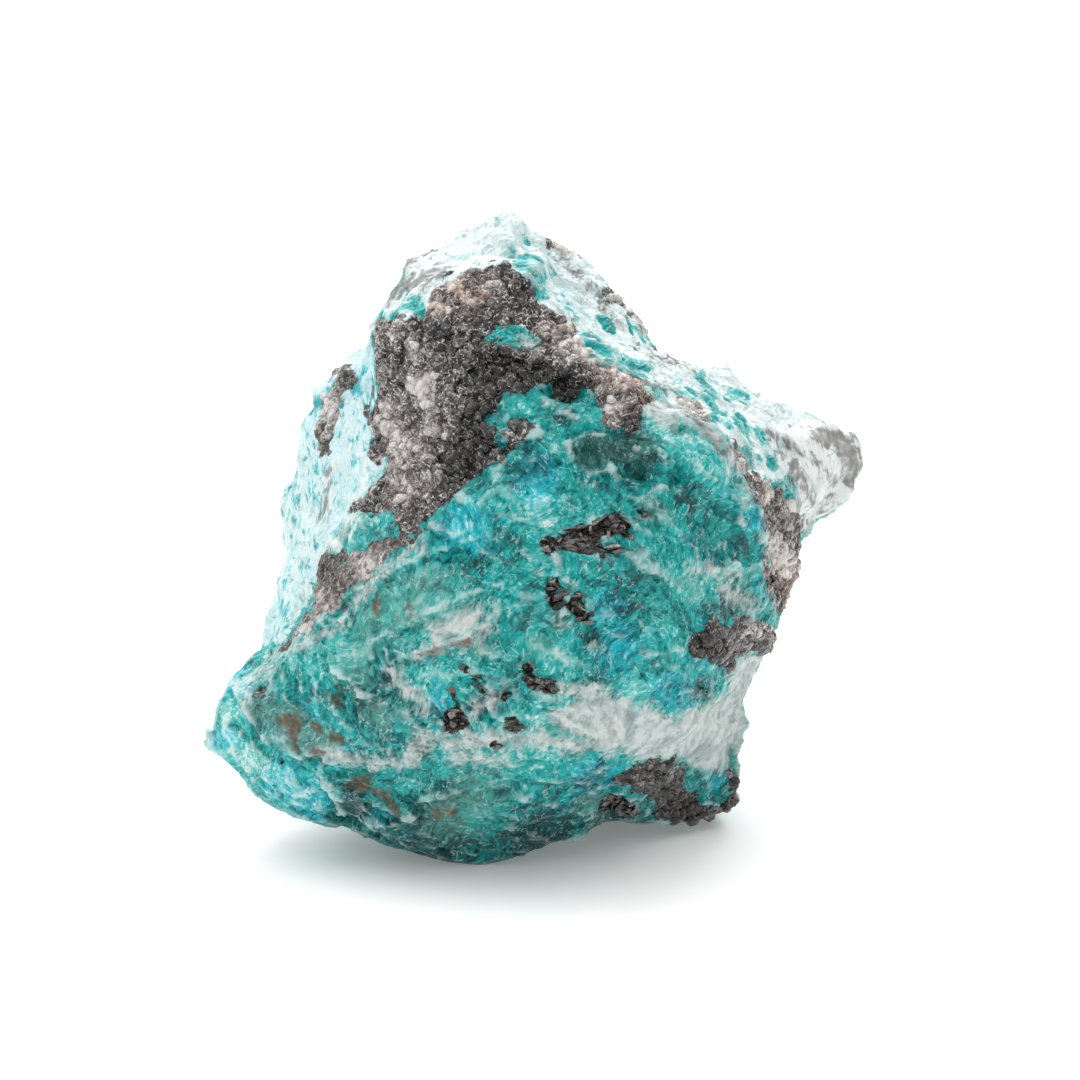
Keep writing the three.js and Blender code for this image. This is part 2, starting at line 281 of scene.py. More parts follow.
MICA_UPPER = [
    (0.6, -2.9), (1, -3.2), (1.3, -2.7), (1.7, -3.4), (1.4, -4.1), (1.8, -4.8), (1.5, -5.4), (1.7, -6.1),
    (1.3, -5.7), (0.8, -5.2), (0.7, -4.5), (0.4, -3.8),
]
MICA_SPLINTER = [
    (7.3, 2.8), (7.8, 2.5), (8, 3), (8.4, 2.9), (8.2, 2.3), (8.3, 1.7), (7.8, 2.1),
]
MICA_BOOK = [(-7.7, -14), (-7.2, -13.4), (-6, -13.6), (-5.8, -14.5), (-6.7, -15.4), (-7.4, -15.1)]
MICA_POCKET = [
    (4.8, -21.8), (5.6, -20.7), (6.6, -20.5), (7.4, -21.1), (7.6, -21.7), (7.1, -22.1), (6, -22),
]
MICA_FLECKS = [
    ([(-7.4, 21.1), (-7.2, 21.2)], 0.12), ([(-9.1, 20.9), (-9, 20.8)], 0.12),
    ([(-1, -10.2), (-0.5, -11.4)], 0.48), ([(0.5, -11.6), (1, -11.9)], 0.4),
    ([(-2.8, -12.5), (-2.6, -12.2)], 0.32), ([(-7, -12.2), (-6.7, -13.2)], 0.24),
    ([(-2.2, -14.6), (-2.1, -14.9)], 0.48), ([(-6, -10.2), (-4.5, -12.2)], 0.12),
    ([(-22.4, -11.8), (-22.1, -12.1)], 0.24), ([(-20.7, -17.5), (-20.4, -17.9)], 0.2),
    ([(-3.7, -16.2), (-3.5, -16.5)], 0.24), ([(18.4, -2.8), (18.7, -4)], 0.4),
    ([(-5.6, 5.6), (-6.8, 4.8)], 0.64),
]
# White albite: the band above the foot, the waist, the horn and the thin veins.
ALBITE_BAND = [
    (0.5, -14), (2.9, -12.4), (5.1, -12), (6.4, -12.3), (7.2, -12.8), (7.9, -13.2), (8.9, -13),
    (9.4, -13.6), (10.9, -14.2), (12.1, -13.4), (13.9, -12.8), (15.2, -12.2), (17.8, -11.5), (17.8, -14.9),
    (17.8, -17.4), (16, -17), (15.2, -18.1), (13.9, -18.4), (12.6, -18.1), (11.4, -17.2), (10.1, -17.6),
    (8.1, -17.5), (6.6, -16.7), (5.5, -17.1), (4.2, -16.2), (2.8, -15.6), (1.4, -15),
]
ALBITE_WAIST = [
    (15.7, -9.3), (18.1, -8.9), (19.2, -9.7), (18.5, -13), (16.2, -13), (15.3, -12.7), (14.9, -11),
]
ALBITE_VEINS = [
    ([(-1.2, 15.7), (0.3, 15.3)], 0.3), ([(-17.6, -1.6), (-15.3, 0.9), (-14.2, 4), (-13.4, 7)], 0.3),
    ([(3.2, -16.4), (-1.6, -15.7), (-7.2, -16.1)], 0.56),
    ([(-7.7, -15.5), (-9.9, -16.4), (-10.3, -17.5), (-12.4, -17.7), (-14.9, -17.6), (-17.3, -16.9)], 0.4),
    ([(-11.7, -10.6), (-10.5, -11.9), (-9.2, -13.4)], 0.48),
    ([(-9.9, -9.1), (-5.9, -7.9), (-3.9, -6.7)], 0.4), ([(14.3, -3.7), (16.9, -5.2)], 0.4),
    ([(12.1, -2.2), (15.5, -2.7)], 0.3), ([(18.3, 0), (19.1, -1.7)], 0.56),
    ([(-5.7, -13.6), (-3.2, -12.5)], 0.28),
    ([(-24, -11.7), (-22.5, -10.5), (-20.5, -8.9), (-16.5, -7.2), (-12.5, -2.4), (-9.9, -0.4)], 0.24),
    ([(-6.8, -17.1), (-3.2, -17.5)], 0.4), ([(7.9, 11.3), (10.5, 9.5)], 0.72),
    ([(9.6, 10.6), (11.9, 10), (14.7, 7.4), (16.3, 5.4), (17, 3.6)], 0.6),
    ([(-7.9, -7.3), (-5.2, -6)], 0.79), ([(1.6, -11.9), (4.8, -11.9)], 0.48),
]
ALBITE_HORN = [
    (18.3, 8), (20.7, 9.9), (24.6, 9.1), (26, 7.2), (25.6, 4.4), (23.8, 2.8), (21.9, 0.8), (21.1, -0.4),
    (20.7, 1.6), (20.3, 4.8),
]
# Where the feldspar is paler than on the teal face; on these sides the paleness is partly painted light.
LEFT_FACE = [
    (-26, 14), (-14.5, 17.5), (-13, 15.1), (-13.4, 6.7), (-12.4, 5.6), (-15.1, 2.4), (-17.2, -1.2),
    (-17.8, -4.2), (-20.5, -8.4), (-26, -9),
]
PALE_SHOULDER = [
    (7.5, 14.5), (12, 12.7), (18.5, 10.2), (20.5, 6), (18.7, 4.6), (17.6, 5.4), (16, 7.4), (13.5, 9.6),
    (10, 12),
]
# Rust stains.
RUST_LOBE = [
    (-21, -14), (-19.2, -13.8), (-19, -14.7), (-19.2, -16.1), (-18.8, -16.8), (-19.5, -16.5),
    (-20.1, -15.2), (-20.7, -14.5),
]
RUST_BLADE = [
    (-16.5, -19.6), (-15.2, -19.2), (-14, -18.6), (-13.3, -18.8), (-13.3, -19.4), (-12.4, -20),
    (-11.8, -20), (-11, -21.7), (-11.3, -22), (-12.1, -20.8), (-13.4, -20), (-14.4, -19.9), (-15.4, -19.6),
]
RUST_SPOTS = [
    ([(-17.9, -14.7), (-17.4, -15.1)], 0.32), ([(-16.5, -15.7), (-15.7, -16)], 0.32),
    ([(-17.9, -16.7), (-17.4, -16.9)], 0.24), ([(-16.2, -12.6), (-15.8, -13)], 0.28),
    ([(-13, -5), (-12.9, -5.7)], 0.28), ([(-10.5, -5.2), (-10.2, -5.4)], 0.24),
    ([(-8.3, -21.6), (-8.1, -22)], 0.32), ([(-7.2, -21.4), (-6.9, -21.6)], 0.32),
    ([(18.9, -3.2), (19.5, -5.1)], 0.4), ([(1.6, 14.1), (4.8, 13.4), (7.6, 12.6)], 0.4),
    ([(-9.5, -9.1), (-5.6, -8)], 0.16),
]

# Deep teal spots in the pale slope and the pale side, and brownish grey smears of fine mica.
TEAL_SPOTS = [
    ([(-9.9, 18.8), (-9.5, 18.4)], 0.6), ([(11.8, 12.2), (12.4, 11.4)], 0.2),
    ([(14, 10.2), (14.9, 9)], 0.22), ([(16.2, 7.6), (17, 6.4)], 0.22), ([(6.2, 12.4), (7, 12)], 0.2),
    ([(9.2, 12), (9.9, 11.4)], 0.2), ([(3.7, 16.1), (4.8, 15.1), (5.6, 14.6)], 0.36),
    ([(5.7, 14.5), (7.3, 13.8), (8.6, 13.4)], 0.3), ([(10.8, 11.8), (12.1, 11)], 0.24),
    ([(12.7, 13), (13.4, 11.3), (13.7, 9.5)], 0.3), ([(17.2, 8.7), (18, 7.5), (18.8, 6.2)], 0.3),
    ([(-1.7, 21.9), (-1, 20.8), (-0.2, 19.6)], 0.48), ([(-3.2, 25.3), (-2.5, 24), (-2.1, 22.9)], 0.24),
    ([(-1.6, 25), (-1, 23.8)], 0.18), ([(24.3, 8.1), (25, 7.9)], 0.18), ([(21.6, 4.5), (21.9, 4.1)], 0.18),
    ([(7.9, 16.7), (9.1, 15.5)], 0.18), ([(14.7, 11.5), (16.3, 11)], 0.24),
    ([(-19.1, 9.9), (-17.6, 11)], 0.24), ([(-15.5, 1), (-14.1, 0)], 0.42),
    ([(-14.9, 11.5), (-14.5, 12.6)], 0.18), ([(1.6, 19.1), (2.8, 17.6)], 0.18),
    ([(15.5, 9.5), (16.5, 8.6)], 0.24), ([(4.8, 17.6), (5.7, 16.7)], 0.18),
    ([(10.2, 13.1), (11.1, 12.7)], 0.18), ([(19.5, 7.9), (20.3, 7)], 0.18),
]
GREY_SMEARS = [
    ([(8, 11), (11, 10.4), (13.6, 8.8)], 0.3), ([(13.8, 8.2), (15.4, 6.6), (16.4, 4.8)], 0.2),
    ([(22.4, 8.3), (24, 7.6), (25, 5.6)], 0.9), ([(24.8, 7), (24.6, 4.6)], 0.6),
    ([(20.2, 5.9), (20.7, 5)], 0.7), ([(17.5, 1.6), (18.7, -0.4)], 0.4), ([(20.7, 3.2), (19.9, 0.8)], 0.4),
    ([(23.4, 4.8), (22.7, 2.4)], 0.32), ([(18.7, 6.8), (20.7, 6.2)], 0.24),
    ([(21.5, 1.6), (20.3, -0.4)], 0.32), ([(-11, 21.6), (-10.2, 22.7), (-8.9, 23.1)], 0.64),
    ([(-12.3, 19.1), (-10.7, 20.3), (-7.9, 21.3)], 0.72), ([(1.6, 22.4), (4, 19.9), (6.4, 16.7)], 0.32),
    ([(6.4, 15.5), (9.5, 14.3), (11.9, 13.4)], 0.24), ([(12.7, 8.7), (14.3, 7), (15.5, 5.6)], 0.32),
    ([(18.3, 8.6), (20.7, 7), (23.1, 5.1)], 0.32), ([(19.9, 5.6), (21.9, 2.8)], 0.4),
    ([(-16.7, 5.6), (-17.3, 1.6)], 0.32), ([(7.9, 12.7), (11.1, 11.5)], 0.32),
]

# Soft round patches of the front view, each as across, up, radius in mm. Where the quartz is pale and milky
# rather than smoky, where it is almost black, and where it is tan.
PALE_QUARTZ = [
    (-11.4, 16.2, 0.8), (-10.2, 12.2, 0.9), (-9.4, 6.8, 0.9), (-9, 4.6, 0.8), (-12.6, 9, 0.7),
    (-7.6, 18.2, 0.8), (2, 23, 1.6), (6.4, 19.2, 1), (7.7, 17.5, 1), (9, 16.2, 1), (10.5, 14.8, 1),
    (-16.4, 10.8, 1.6), (17.3, -7.5, 1.1), (19.4, -2.2, 1.2), (-9.5, 14.9, 1.1), (-9.1, 12.9, 1),
    (-8.6, 10.7, 1), (-7.9, 8.6, 1), (-11, 7.9, 1.3), (-11.1, 5.7, 1.2), (-10.7, 3.7, 1.1),
    (-12.1, 13.4, 0.8), (-12.1, 10.7, 0.8), (-6.8, 20.3, 0.8), (-9.5, 19.1, 1), (-17.1, -5, 1.8),
    (-13.6, -2.1, 1.8), (-18.9, -7.6, 1), (-4, 20.3, 0.9), (6, 10.7, 1.1), (-9.3, 22.1, 1.7),
    (6.4, 13.3, 1.6), (3, 15.4, 1.3), (11.1, 10.5, 1.9), (17.9, 3.2, 0.9), (18.5, -0.7, 1.2),
    (20.1, 2.6, 0.8), (15.9, 6, 1.2), (4.8, 15.1, 1.1), (0.4, 16.7, 1), (-5.2, 19.1, 0.7),
]
BLACK_QUARTZ = [
    (-3, 12.9, 3), (-6.8, 5.7, 2.1), (-4.8, 8.7, 2.4), (1.8, 12.1, 1.3), (8.3, 9.5, 1), (12.8, -8.2, 1.5),
    (15.2, -8.8, 1.2), (-1.6, 10.2, 1.3), (9.3, -19.4, 2.2), (12.5, -21.6, 1.9), (15.6, -20, 1.2),
    (14.6, -9.6, 1), (-9.1, 13.9, 0.6), (24.2, 7.3, 1.1), (-0.4, 12.3, 1.6), (-3.2, 15.5, 1.1),
    (-7.9, 16.7, 1),
]
TAN_QUARTZ = [
    (-6.8, 20.3, 1.6), (-5, 19.6, 1.3), (-8.6, 18.6, 1), (4.8, 15.4, 1.8), (7, 13.6, 1.6), (8.2, 11.6, 1.2),
    (17.2, 4.4, 1.2), (19.6, -3.6, 1.4), (13.5, -8.8, 0.9), (12, -21, 1.2), (1.5, 16.8, 0.9),
]

# Where the feldspar is deeper, paler, bluer or greyer than the rest.
DEEP_PATCHES = [
    (11.8, 3.2, 1.3), (-15, -19.8, 0.9), (6.4, -2, 2), (-2.4, 0, 1.4), (-13.5, -12.7, 2.2),
    (4.8, -19.2, 1.6), (-1, 6.5, 1.6), (-9.1, -21.1, 1.4), (-6.4, -19.9, 1.7), (1.6, 9.9, 1.1),
    (4.8, 6.8, 2.2), (7.9, 5.6, 2), (-3.2, -11.9, 1.3), (4, -7.9, 1.1), (12.7, -11.9, 1.1),
    (-14.7, -21.1, 1.1), (0, -23.8, 3.2), (6.4, -23.8, 2.4), (-7.9, -24.6, 3.2), (13.5, -1.6, 1.1),
    (-0.6, 6, 1.4), (-5, -2, 1), (14.4, -5.6, 1.2), (-4.6, -13.2, 1.7),
]
PALE_PATCHES = [
    (-20, -20, 1.8), (-22.5, -17.8, 1.4), (-18.4, -21.2, 1.4), (-24, -11.6, 1.2), (12, 7, 2),
    (14.6, 5.2, 1.5), (-25, -14.4, 1.4), (-24.4, -16.8, 1.3), (11.8, 7.6, 0.8), (9.2, 9, 0.8),
    (14.6, 5.4, 0.6), (16.5, 1.2, 0.5), (-14.6, 1.8, 2), (-12.6, 3.4, 1.2), (-15.1, -9.1, 2.1),
    (-6.8, -6.5, 1.9), (9.5, -7.9, 1.9), (-0.4, 2.4, 2.1), (-5.6, 1.6, 1.7), (12.7, -2.8, 2.2),
    (-1.6, -15.9, 2.4), (7.9, -11.9, 1.3), (1.6, -8.7, 1.3), (-9.5, -11.9, 1.4), (-19.1, -9.1, 1.6),
    (9.5, 10.3, 1.7), (-4.8, -22.3, 1.7),
]
BLUE_PATCHES = [
    (-24, -11.5, 1.5), (16.6, 2, 0.9), (-0.4, 4, 2.4), (0, 5.6, 1.6), (-6, 1.2, 2.1), (5.2, -5.2, 1.4),
    (6.4, -8.7, 1.7), (-25, -15.9, 1.4), (-21.1, -19.1, 1.6), (-18.3, -21.1, 2.2), (-12.9, -22.3, 1),
    (14.1, -18.9, 1.3), (4.4, -18.9, 1.6), (10.3, -11.9, 1.4), (-7.9, -12.7, 1.3),
]
GREY_PATCHES = [
    (-22.7, -13.1, 1.6), (-19.9, -14.7, 2.1), (-17.1, -16.3, 1.4), (4, 7.2, 1.6), (7.9, 7.2, 2.1),
    (9.1, 2.4, 1.3), (15.9, -4.8, 1.7), (1.6, -6.4, 1.1), (-4.8, -8.3, 1.3), (-9.5, -16.3, 1.4),
]
# Where a cloudy, greenish film lies over the teal.
VEILED_PATCHES = [
    (-12.5, -6, 3.2), (-8.5, -3.5, 2.6), (-15, -10, 2.4), (-6.5, -7, 2.4), (-13, -14, 2), (0, -8.5, 1.6),
    (-4.5, -20, 3), (-8, -22.5, 2.5), (4, -21, 2), (1.5, -15, 1.6), (12, -3.6, 1.6),
]
# Where rounded lumps stay teal on top, without the white, partly painted highlight, of an edge that stands
# out.
LUMPS = [(12.7, 5.9, 2), (10.2, 7.3, 1), (15.9, 2.4, 1.6), (4, 6.8, 1.4), (6.8, 7.4, 1.2)]
# Where the peak is smoother than the rest.
SMOOTH_PEAK = [(-8, 22, 5)]
# The outline of one smooth grey crystal.
GREY_CRYSTAL = [(2.5, 7.9), (3.5, 8.5), (4.9, 8.4), (5.9, 7), (5.3, 5.5), (3.7, 5.3), (2.8, 6.4)]

# The side that faces away has the same minerals, strewn by noise, though not where it is seen edge on.
in_front = smoothstep(-0.3, 0.0, facing)
behind = 1 - in_front
edge_on = 3 * smoothstep(-0.85, -0.5, facing)
clear_of_table = 4 * smoothstep(0.8, 1.3, point[:, 2]) - 3
OUTSIDE = -3.0  # mm, well outside any marking
TURN = np.array([[0.8, 0.36, -0.48], [-0.6, 0.48, -0.64], [0, 0.8, 0.6]])  # hides the noise's own axes
wandering = point @ TURN
wandering += 1.5 * np.stack([rough(wandering / 4, seed) for seed in (101, 111, 121)], 1)

quartz = np.maximum.reduce([
    outline(QUARTZ_FACE), outline(QUARTZ_STRIP), outline(QUARTZ_RIGHT), outline(QUARTZ_WAIST),
    outline(QUARTZ_FOOT), strokes(QUARTZ_STREAKS),
])
quartz = np.minimum.reduce([quartz, -strokes(TEAL_IN_QUARTZ), -outline(TEAL_POCKET), -outline(TEAL_CRYSTAL)])
crystal = smoothstep(-0.3, 0.2, outline(TEAL_CRYSTAL)) * in_front
quartz = quartz + 0.45 * rough(point / 1.3, 77) - 2 * crystal
quartz_behind = 3.2 * (rough(wandering / 9, 21) - 0.3) - edge_on
quartz = np.maximum(quartz, OUTSIDE) * in_front + quartz_behind * behind
# The strip on the left is worn flat; the rest of the quartz is in kernels.
grains = np.minimum(quartz, -outline(QUARTZ_STRIP) * in_front + 3 * behind)
grains = np.minimum(grains, clear_of_table)

mica = np.maximum.reduce([
    outline(MICA_CHAIN), outline(MICA_DOT), outline(MICA_UPPER), outline(MICA_SPLINTER),
    outline(MICA_BOOK), outline(MICA_POCKET), strokes(MICA_FLECKS),
]) + 0.12 * rough(point / 0.7, 79)
mica_behind = 2.5 * (rough(wandering / 3.6, 31) - 0.85) - edge_on
mica = np.maximum(mica, OUTSIDE) * in_front + mica_behind * behind
mica = np.minimum(mica, clear_of_table)

albite = np.maximum.reduce([
    outline(ALBITE_BAND), outline(ALBITE_WAIST), outline(ALBITE_HORN), strokes(ALBITE_VEINS),
])
albite = np.maximum(albite, OUTSIDE) * in_front + 2.6 * (rough(wandering / 7, 41) - 0.42) * behind
rust = np.maximum.reduce([outline(RUST_LOBE), outline(RUST_BLADE), strokes(RUST_SPOTS)])
rust = np.maximum(rust, OUTSIDE) * in_front + 2 * (rough(wandering / 4, 51) - 0.95) * behind

# The crystals on the right slope are drawn out along this line.
GRAIN = np.array([0.86, 0.1, -0.5])
GRAIN = GRAIN / np.linalg.norm(GRAIN)
along_grain = point @ GRAIN
drawn = point - along_grain[:, None] * GRAIN * 0.55

# The left side and the right slope are paler feldspar than the teal face, but for the teal spots in them.
# They are picked partly by which way they face, and their paleness is partly painted light from above and the
# left.
left_side = smoothstep(0.45, 0.85, -outward[:, 0]) * smoothstep(9, 15, point[:, 2])
left_side = left_side * behind + smoothstep(-0.4, 0.4, outline(LEFT_FACE)) * in_front
slope = smoothstep(0.35, 0.75, outward[:, 2]) * smoothstep(20, 26, point[:, 2])
slope *= smoothstep(-11, -8.5, point[:, 1])
spots = np.maximum.reduce([strokes(TEAL_SPOTS), outline(TEAL_CRYSTAL), outline(TEAL_POCKET)])
spots = smoothstep(-0.5, 0.2, spots + 0.35 * rough(drawn / 0.9, 46)) * in_front
spots = np.maximum(spots, crystal)
pale_side = np.maximum.reduce([
    0.82 * left_side, slope, smoothstep(-0.5, 0.5, outline(ALBITE_HORN)) * in_front,
    smoothstep(-0.6, 0.4, outline(PALE_SHOULDER)) * in_front,
])
pale_side *= (1 - 0.75 * spots) * (1 - crystal)
pale_side += 0.45 * slope * (1 - spots)

# How light, blue, grey, veiled and smeared the feldspar is. Its lowest few mm are darker, as painted shade
# near the table; the pale sides and the upward slope are lighter and the rest darker, partly as painted
# light.
tone = (
    0.5 - 0.26 * patches(DEEP_PATCHES) * in_front + 0.24 * patches(PALE_PATCHES) * in_front
    + 0.22 * pale_side + 0.24 * slope * (1 - spots) + 0.1 * crystal - 0.1 * left_side
    + 0.1 * rough(point / 7, 61)
    - 0.12 * (1 - smoothstep(3, 9, point[:, 2])) - 0.09 * (1 - pale_side)
)
blue = patches(BLUE_PATCHES) * in_front + 0.2 * slope + 0.5 * left_side + 0.3 * rough(point / 8, 71)
grey_crystal = smoothstep(-0.25, 0.15, outline(GREY_CRYSTAL)) * in_front
grey = np.maximum(patches(GREY_PATCHES) * in_front, 1.4 * grey_crystal)
veil = patches(VEILED_PATCHES) * in_front
smear = np.maximum(strokes(GREY_SMEARS), np.minimum(outline(ALBITE_HORN), 0) - 0.3)
smear = smear * in_front + OUTSIDE * behind

# How crisp the painted crack glints are, and how tan and how smoky the quartz is.
crisp = smoothstep(-0.8, 0.2, outline(QUARTZ_FACE)) * in_front + 0.5 * behind
tan = patches(TAN_QUARTZ) * in_front + 0.3 * behind
smoke = 0.5 + (0.5 * patches(BLACK_QUARTZ) - 0.6 * patches(PALE_QUARTZ)) * in_front
smoke += 0.25 * rough(point / 4, 75)

# Relief, in mm. Feldspar parts in tilted chips, quartz in round grains; mica is sunk in.
CHIP = 2.3  # across
CHIP_TILT = 0.14  # about how steep a chip's face is
SMALL_CHIP = 0.95
SMALL_TILT = 0.18
RIB = 1.3  # between the drawn-out ribs of the slope
RIB_RISE = 0.3
KERNEL = 1.0  # the quartz kernels
KERNEL_RISE = 0.34
MICA_DEPTH = 0.3

# Ledges of the front view: a line, what its left side stands above its right side in mm, and how far
# from the line that fades out.
LEDGE_EDGE = 0.15  # mm, half the width of the break itself
LEDGES = [
    ([(-17.4, -19), (-16.2, -21), (-15.2, -23)], 1.1, 0.8), ([(-17.4, -19), (-14.2, -18.6)], -0.4, 0.5),
    ([(2.4, 8), (3.6, 8.7), (5, 8.5)], -0.5, 0.5), ([(5.3, 5.3), (3.7, 5.1), (2.6, 6.4)], -0.5, 0.5),
    ([(-11.1, -9.7), (-5.9, -8), (-3.2, -6)], 0.5, 0.7),
    ([(16.3, 5.6), (17.5, 1.6), (18.1, -2.4), (19.1, -6)], -0.5, 0.8),
    ([(-24.2, -12.4), (-22.1, -15.9), (-19.1, -17.5), (-17.3, -16.9)], 0.5, 0.9),
    ([(1.7, 8), (2.8, 4.8)], 0.4, 0.6), ([(4, 8.7), (5.7, 4.9)], 0.4, 0.6),
    ([(-3.2, 0), (-1.6, 1.6), (0.4, 0.8), (1, -1.6)], 0.35, 0.8),
    ([(-7.5, -14.3), (-13, -12.5), (-17, -9.5)], 0.4, 0.9),
    ([(-8, 0.5), (-2, -2.5), (1.5, -3.2)], 0.4, 0.9), ([(7, -1.5), (11, -4.5), (12, -9)], 0.2, 0.9),
    ([(-15.5, -4.8), (-9.5, -1.6), (-5.5, -0.2)], 0.45, 0.6),
    ([(-12.7, -8), (-7.2, -5.2), (-2.4, -3.4)], 0.45, 0.6),
    ([(-9.7, 16.6), (-9.2, 13), (-8.2, 9.6), (-8.6, 6.4)], -0.7, 0.9),
    ([(-5.9, 13.6), (-3.4, 14.8), (-0.4, 14)], 0.6, 0.9), ([(-5.6, 9.6), (-3.4, 7.6), (-1, 7.8)], 0.6, 0.9),
    ([(-15, -13), (-9.5, -11.2), (-5, -10.8)], 0.4, 0.6), ([(-9.5, -21), (-3, -19), (3, -19.5)], 0.4, 0.8),
]
# Places that are pressed in, or stand out where the depth is below 0: across, up, radius, depth, in mm.
HOLLOWS = [
    (12.7, 5.9, 1.8, -1.4), (10.2, 7.3, 1, -0.9), (15.9, 2.4, 1.3, -0.9), (16.8, 0.5, 1, -0.7),
    (-0.3, 8.6, 0.8, -0.8), (4, 6.8, 1.3, 0.8), (6.8, 7.4, 0.9, -0.3), (10.8, 5, 0.7, 0.7),
    (14.4, 2.6, 0.7, 0.6), (11, 8.8, 0.6, 0.5), (7.9, 5.6, 0.8, 0.6), (1.4, 6.2, 0.6, 0.5),
    (16.6, -15, 2.6, 0.9), (16.2, -18, 1.6, 0.7), (21.4, 0.5, 1.8, 0.6), (-15, -22.6, 0.8, 1.2),
    (2.4, 12.2, 1.1, 0.9), (5.6, -21.3, 1.2, 0.7), (0.5, 16.2, 0.8, -0.4), (-0.6, 21.4, 1, -0.9),
    (-2.6, 23.6, 0.8, -0.5), (25.3, 7.7, 1.2, -0.6), (25.2, 3.4, 1.3, -0.6), (8.2, 5.4, 1.4, 0.6),
    (-18.2, 12.4, 1.2, -0.5), (-20.4, 3, 1.5, -0.3), (-25.6, -15.8, 1.2, -0.5),
]


def ledge_relief(lines):
    """How far the ledges lift each point, in mm."""
    total = np.zeros(len(spot))
    for corners, height, reach in lines:
        corners = np.array(corners, float)
        nearest = np.full(len(spot), VERY_FAR)
        side = np.zeros(len(spot))
        for start, end in zip(corners[:-1], corners[1:]):
            along = end - start
            offset = offset_from(start, end)
            away = np.linalg.norm(offset, axis=1)
            left = np.sign(along[0] * offset[:, 1] - along[1] * offset[:, 0])
            side = np.where(away < nearest, left, side)
            nearest = np.minimum(nearest, away)
        total += height / 2 * side * np.exp(-((nearest / reach) ** 2)) * np.tanh(nearest / LEDGE_EDGE)
    return total


def hollow_relief(spots):
    """How far the hollows lift each point, in mm; below 0 where they press it in."""
    total = np.zeros(len(spot))
    for across, up, radius, depth_in in spots:
        away = np.linalg.norm(spot - (across, up), axis=1) / radius
        total -= depth_in * np.exp(-away**3)
    return total


in_quartz = smoothstep(-0.15, 0.25, quartz)
in_mica = smoothstep(-0.1, 0.3, mica)
in_albite = smoothstep(-0.2, 0.4, albite)
from_centre, own_tilt, _ = cells(drawn / CHIP, 3)
chips = CHIP * CHIP_TILT * (from_centre * (own_tilt * 2 - 1)).sum(1) * 1.6
from_centre, own_tilt, _ = cells(drawn / SMALL_CHIP, 5)
small_chips = SMALL_CHIP * SMALL_TILT * (from_centre * (own_tilt * 2 - 1)).sum(1) * 1.6
ribbed = (point - along_grain[:, None] * GRAIN * 0.8) / RIB
ribs = RIB_RISE * (1 - np.abs(rough(ribbed, 81, 2)) * 2)
_, own_size, nearest = cells(point / KERNEL, 7)
quartz_grains = KERNEL_RISE * (0.55 - nearest) * (0.6 + 0.8 * own_size[:, 0])
feldspar_relief = chips * 0.6 + small_chips * 0.8 + ribs * slope * 0.8 + 0.1 * rough(point / 1.2, 91)
feldspar_relief *= (1 - 0.65 * left_side) * (1 - 0.6 * patches(SMOOTH_PEAK)) * (1 - 0.6 * grey_crystal)
rise = (
    feldspar_relief * (1 - in_quartz) * (1 - 0.6 * in_albite) * (1 - in_mica)
    + quartz_grains * in_quartz
    + np.clip(0.5 * quartz, -0.15, 0.05) * in_quartz
    - MICA_DEPTH * in_mica
    + (ledge_relief(LEDGES) + hollow_relief(HOLLOWS)) * in_front
)
rise *= smoothstep(0.0, 1.5, point[:, 2])  # the resting facet stays flat
point = point + outward * rise[:, None]
body.data.vertices.foreach_set("co", (point * MM).ravel())
body.data.update()

# How far each point stands out of its surroundings. Edges that stand out are painted white, partly as powdery
# broken feldspar and partly as a painted highlight; creases that sink in are painted deep teal as painted
# shade.
ends = np.empty(len(body.data.edges) * 2, np.int32)
body.data.edges.foreach_get("vertices", ends)
ends = ends.reshape(-1, 2)
both_ways = np.concatenate([ends, ends[:, ::-1]])
neighbours = np.bincount(both_ways[:, 0], minlength=len(point))


def mean_of_neighbours(values):
    """For each point, the mean of the values at the points that an edge joins to it."""
    return np.bincount(both_ways[:, 0], values[both_ways[:, 1]], len(point)) / neighbours


def softened(values, rounds):
    """The values, each drawn to those of its neighbours so many times."""
    for _ in range(rounds):
        values = (values + mean_of_neighbours(values)) / 2
    return values


outward = normals(body.data)
standing_out = {}
for rounds in (6, 40):
    surroundings = np.stack([softened(point[:, i], rounds) for i in range(3)], 1)
    standing_out[rounds] = ((point - surroundings) * outward).sum(1) / BODY_VOXEL
edge_wear = softened(standing_out[6], 1) + 0.4 * standing_out[40] - 0.5 * patches(LUMPS) * in_front


def store(mesh, name, values):
    """A number on each of the mesh's points, for its materials."""
    mesh.attributes.new(name, "FLOAT", "POINT").data.foreach_set("value", values.astype(np.float32))


for name, values in {
    "quartz": quartz, "grains": grains, "crisp": crisp, "tan": tan, "albite": albite, "mica": mica,
    "rust": rust, "tone": tone, "blue": blue, "grey": grey, "veil": veil, "pale_side": pale_side,
    "smoke": smoke, "smear": smear, "edge_wear": edge_wear,
}.items():
    store(body.data, name, values)


# Amazonite, a microcline feldspar, freshly broken: satin cleavage flakes with a silky lustre, from deep teal
# to milky white, cut by thin white threads. Albite, rust, quartz and mica take over where they are.


def linear(hex_colour):
    """An sRGB hex colour as the linear colour that a shader takes."""
    parts = [int(hex_colour[i:i + 2], 16) / 255 for i in (1, 3, 5)]
    return [p / 12.92 if p <= 0.04045 else ((p + 0.055) / 1.055) ** 2.4 for p in parts] + [1.0]


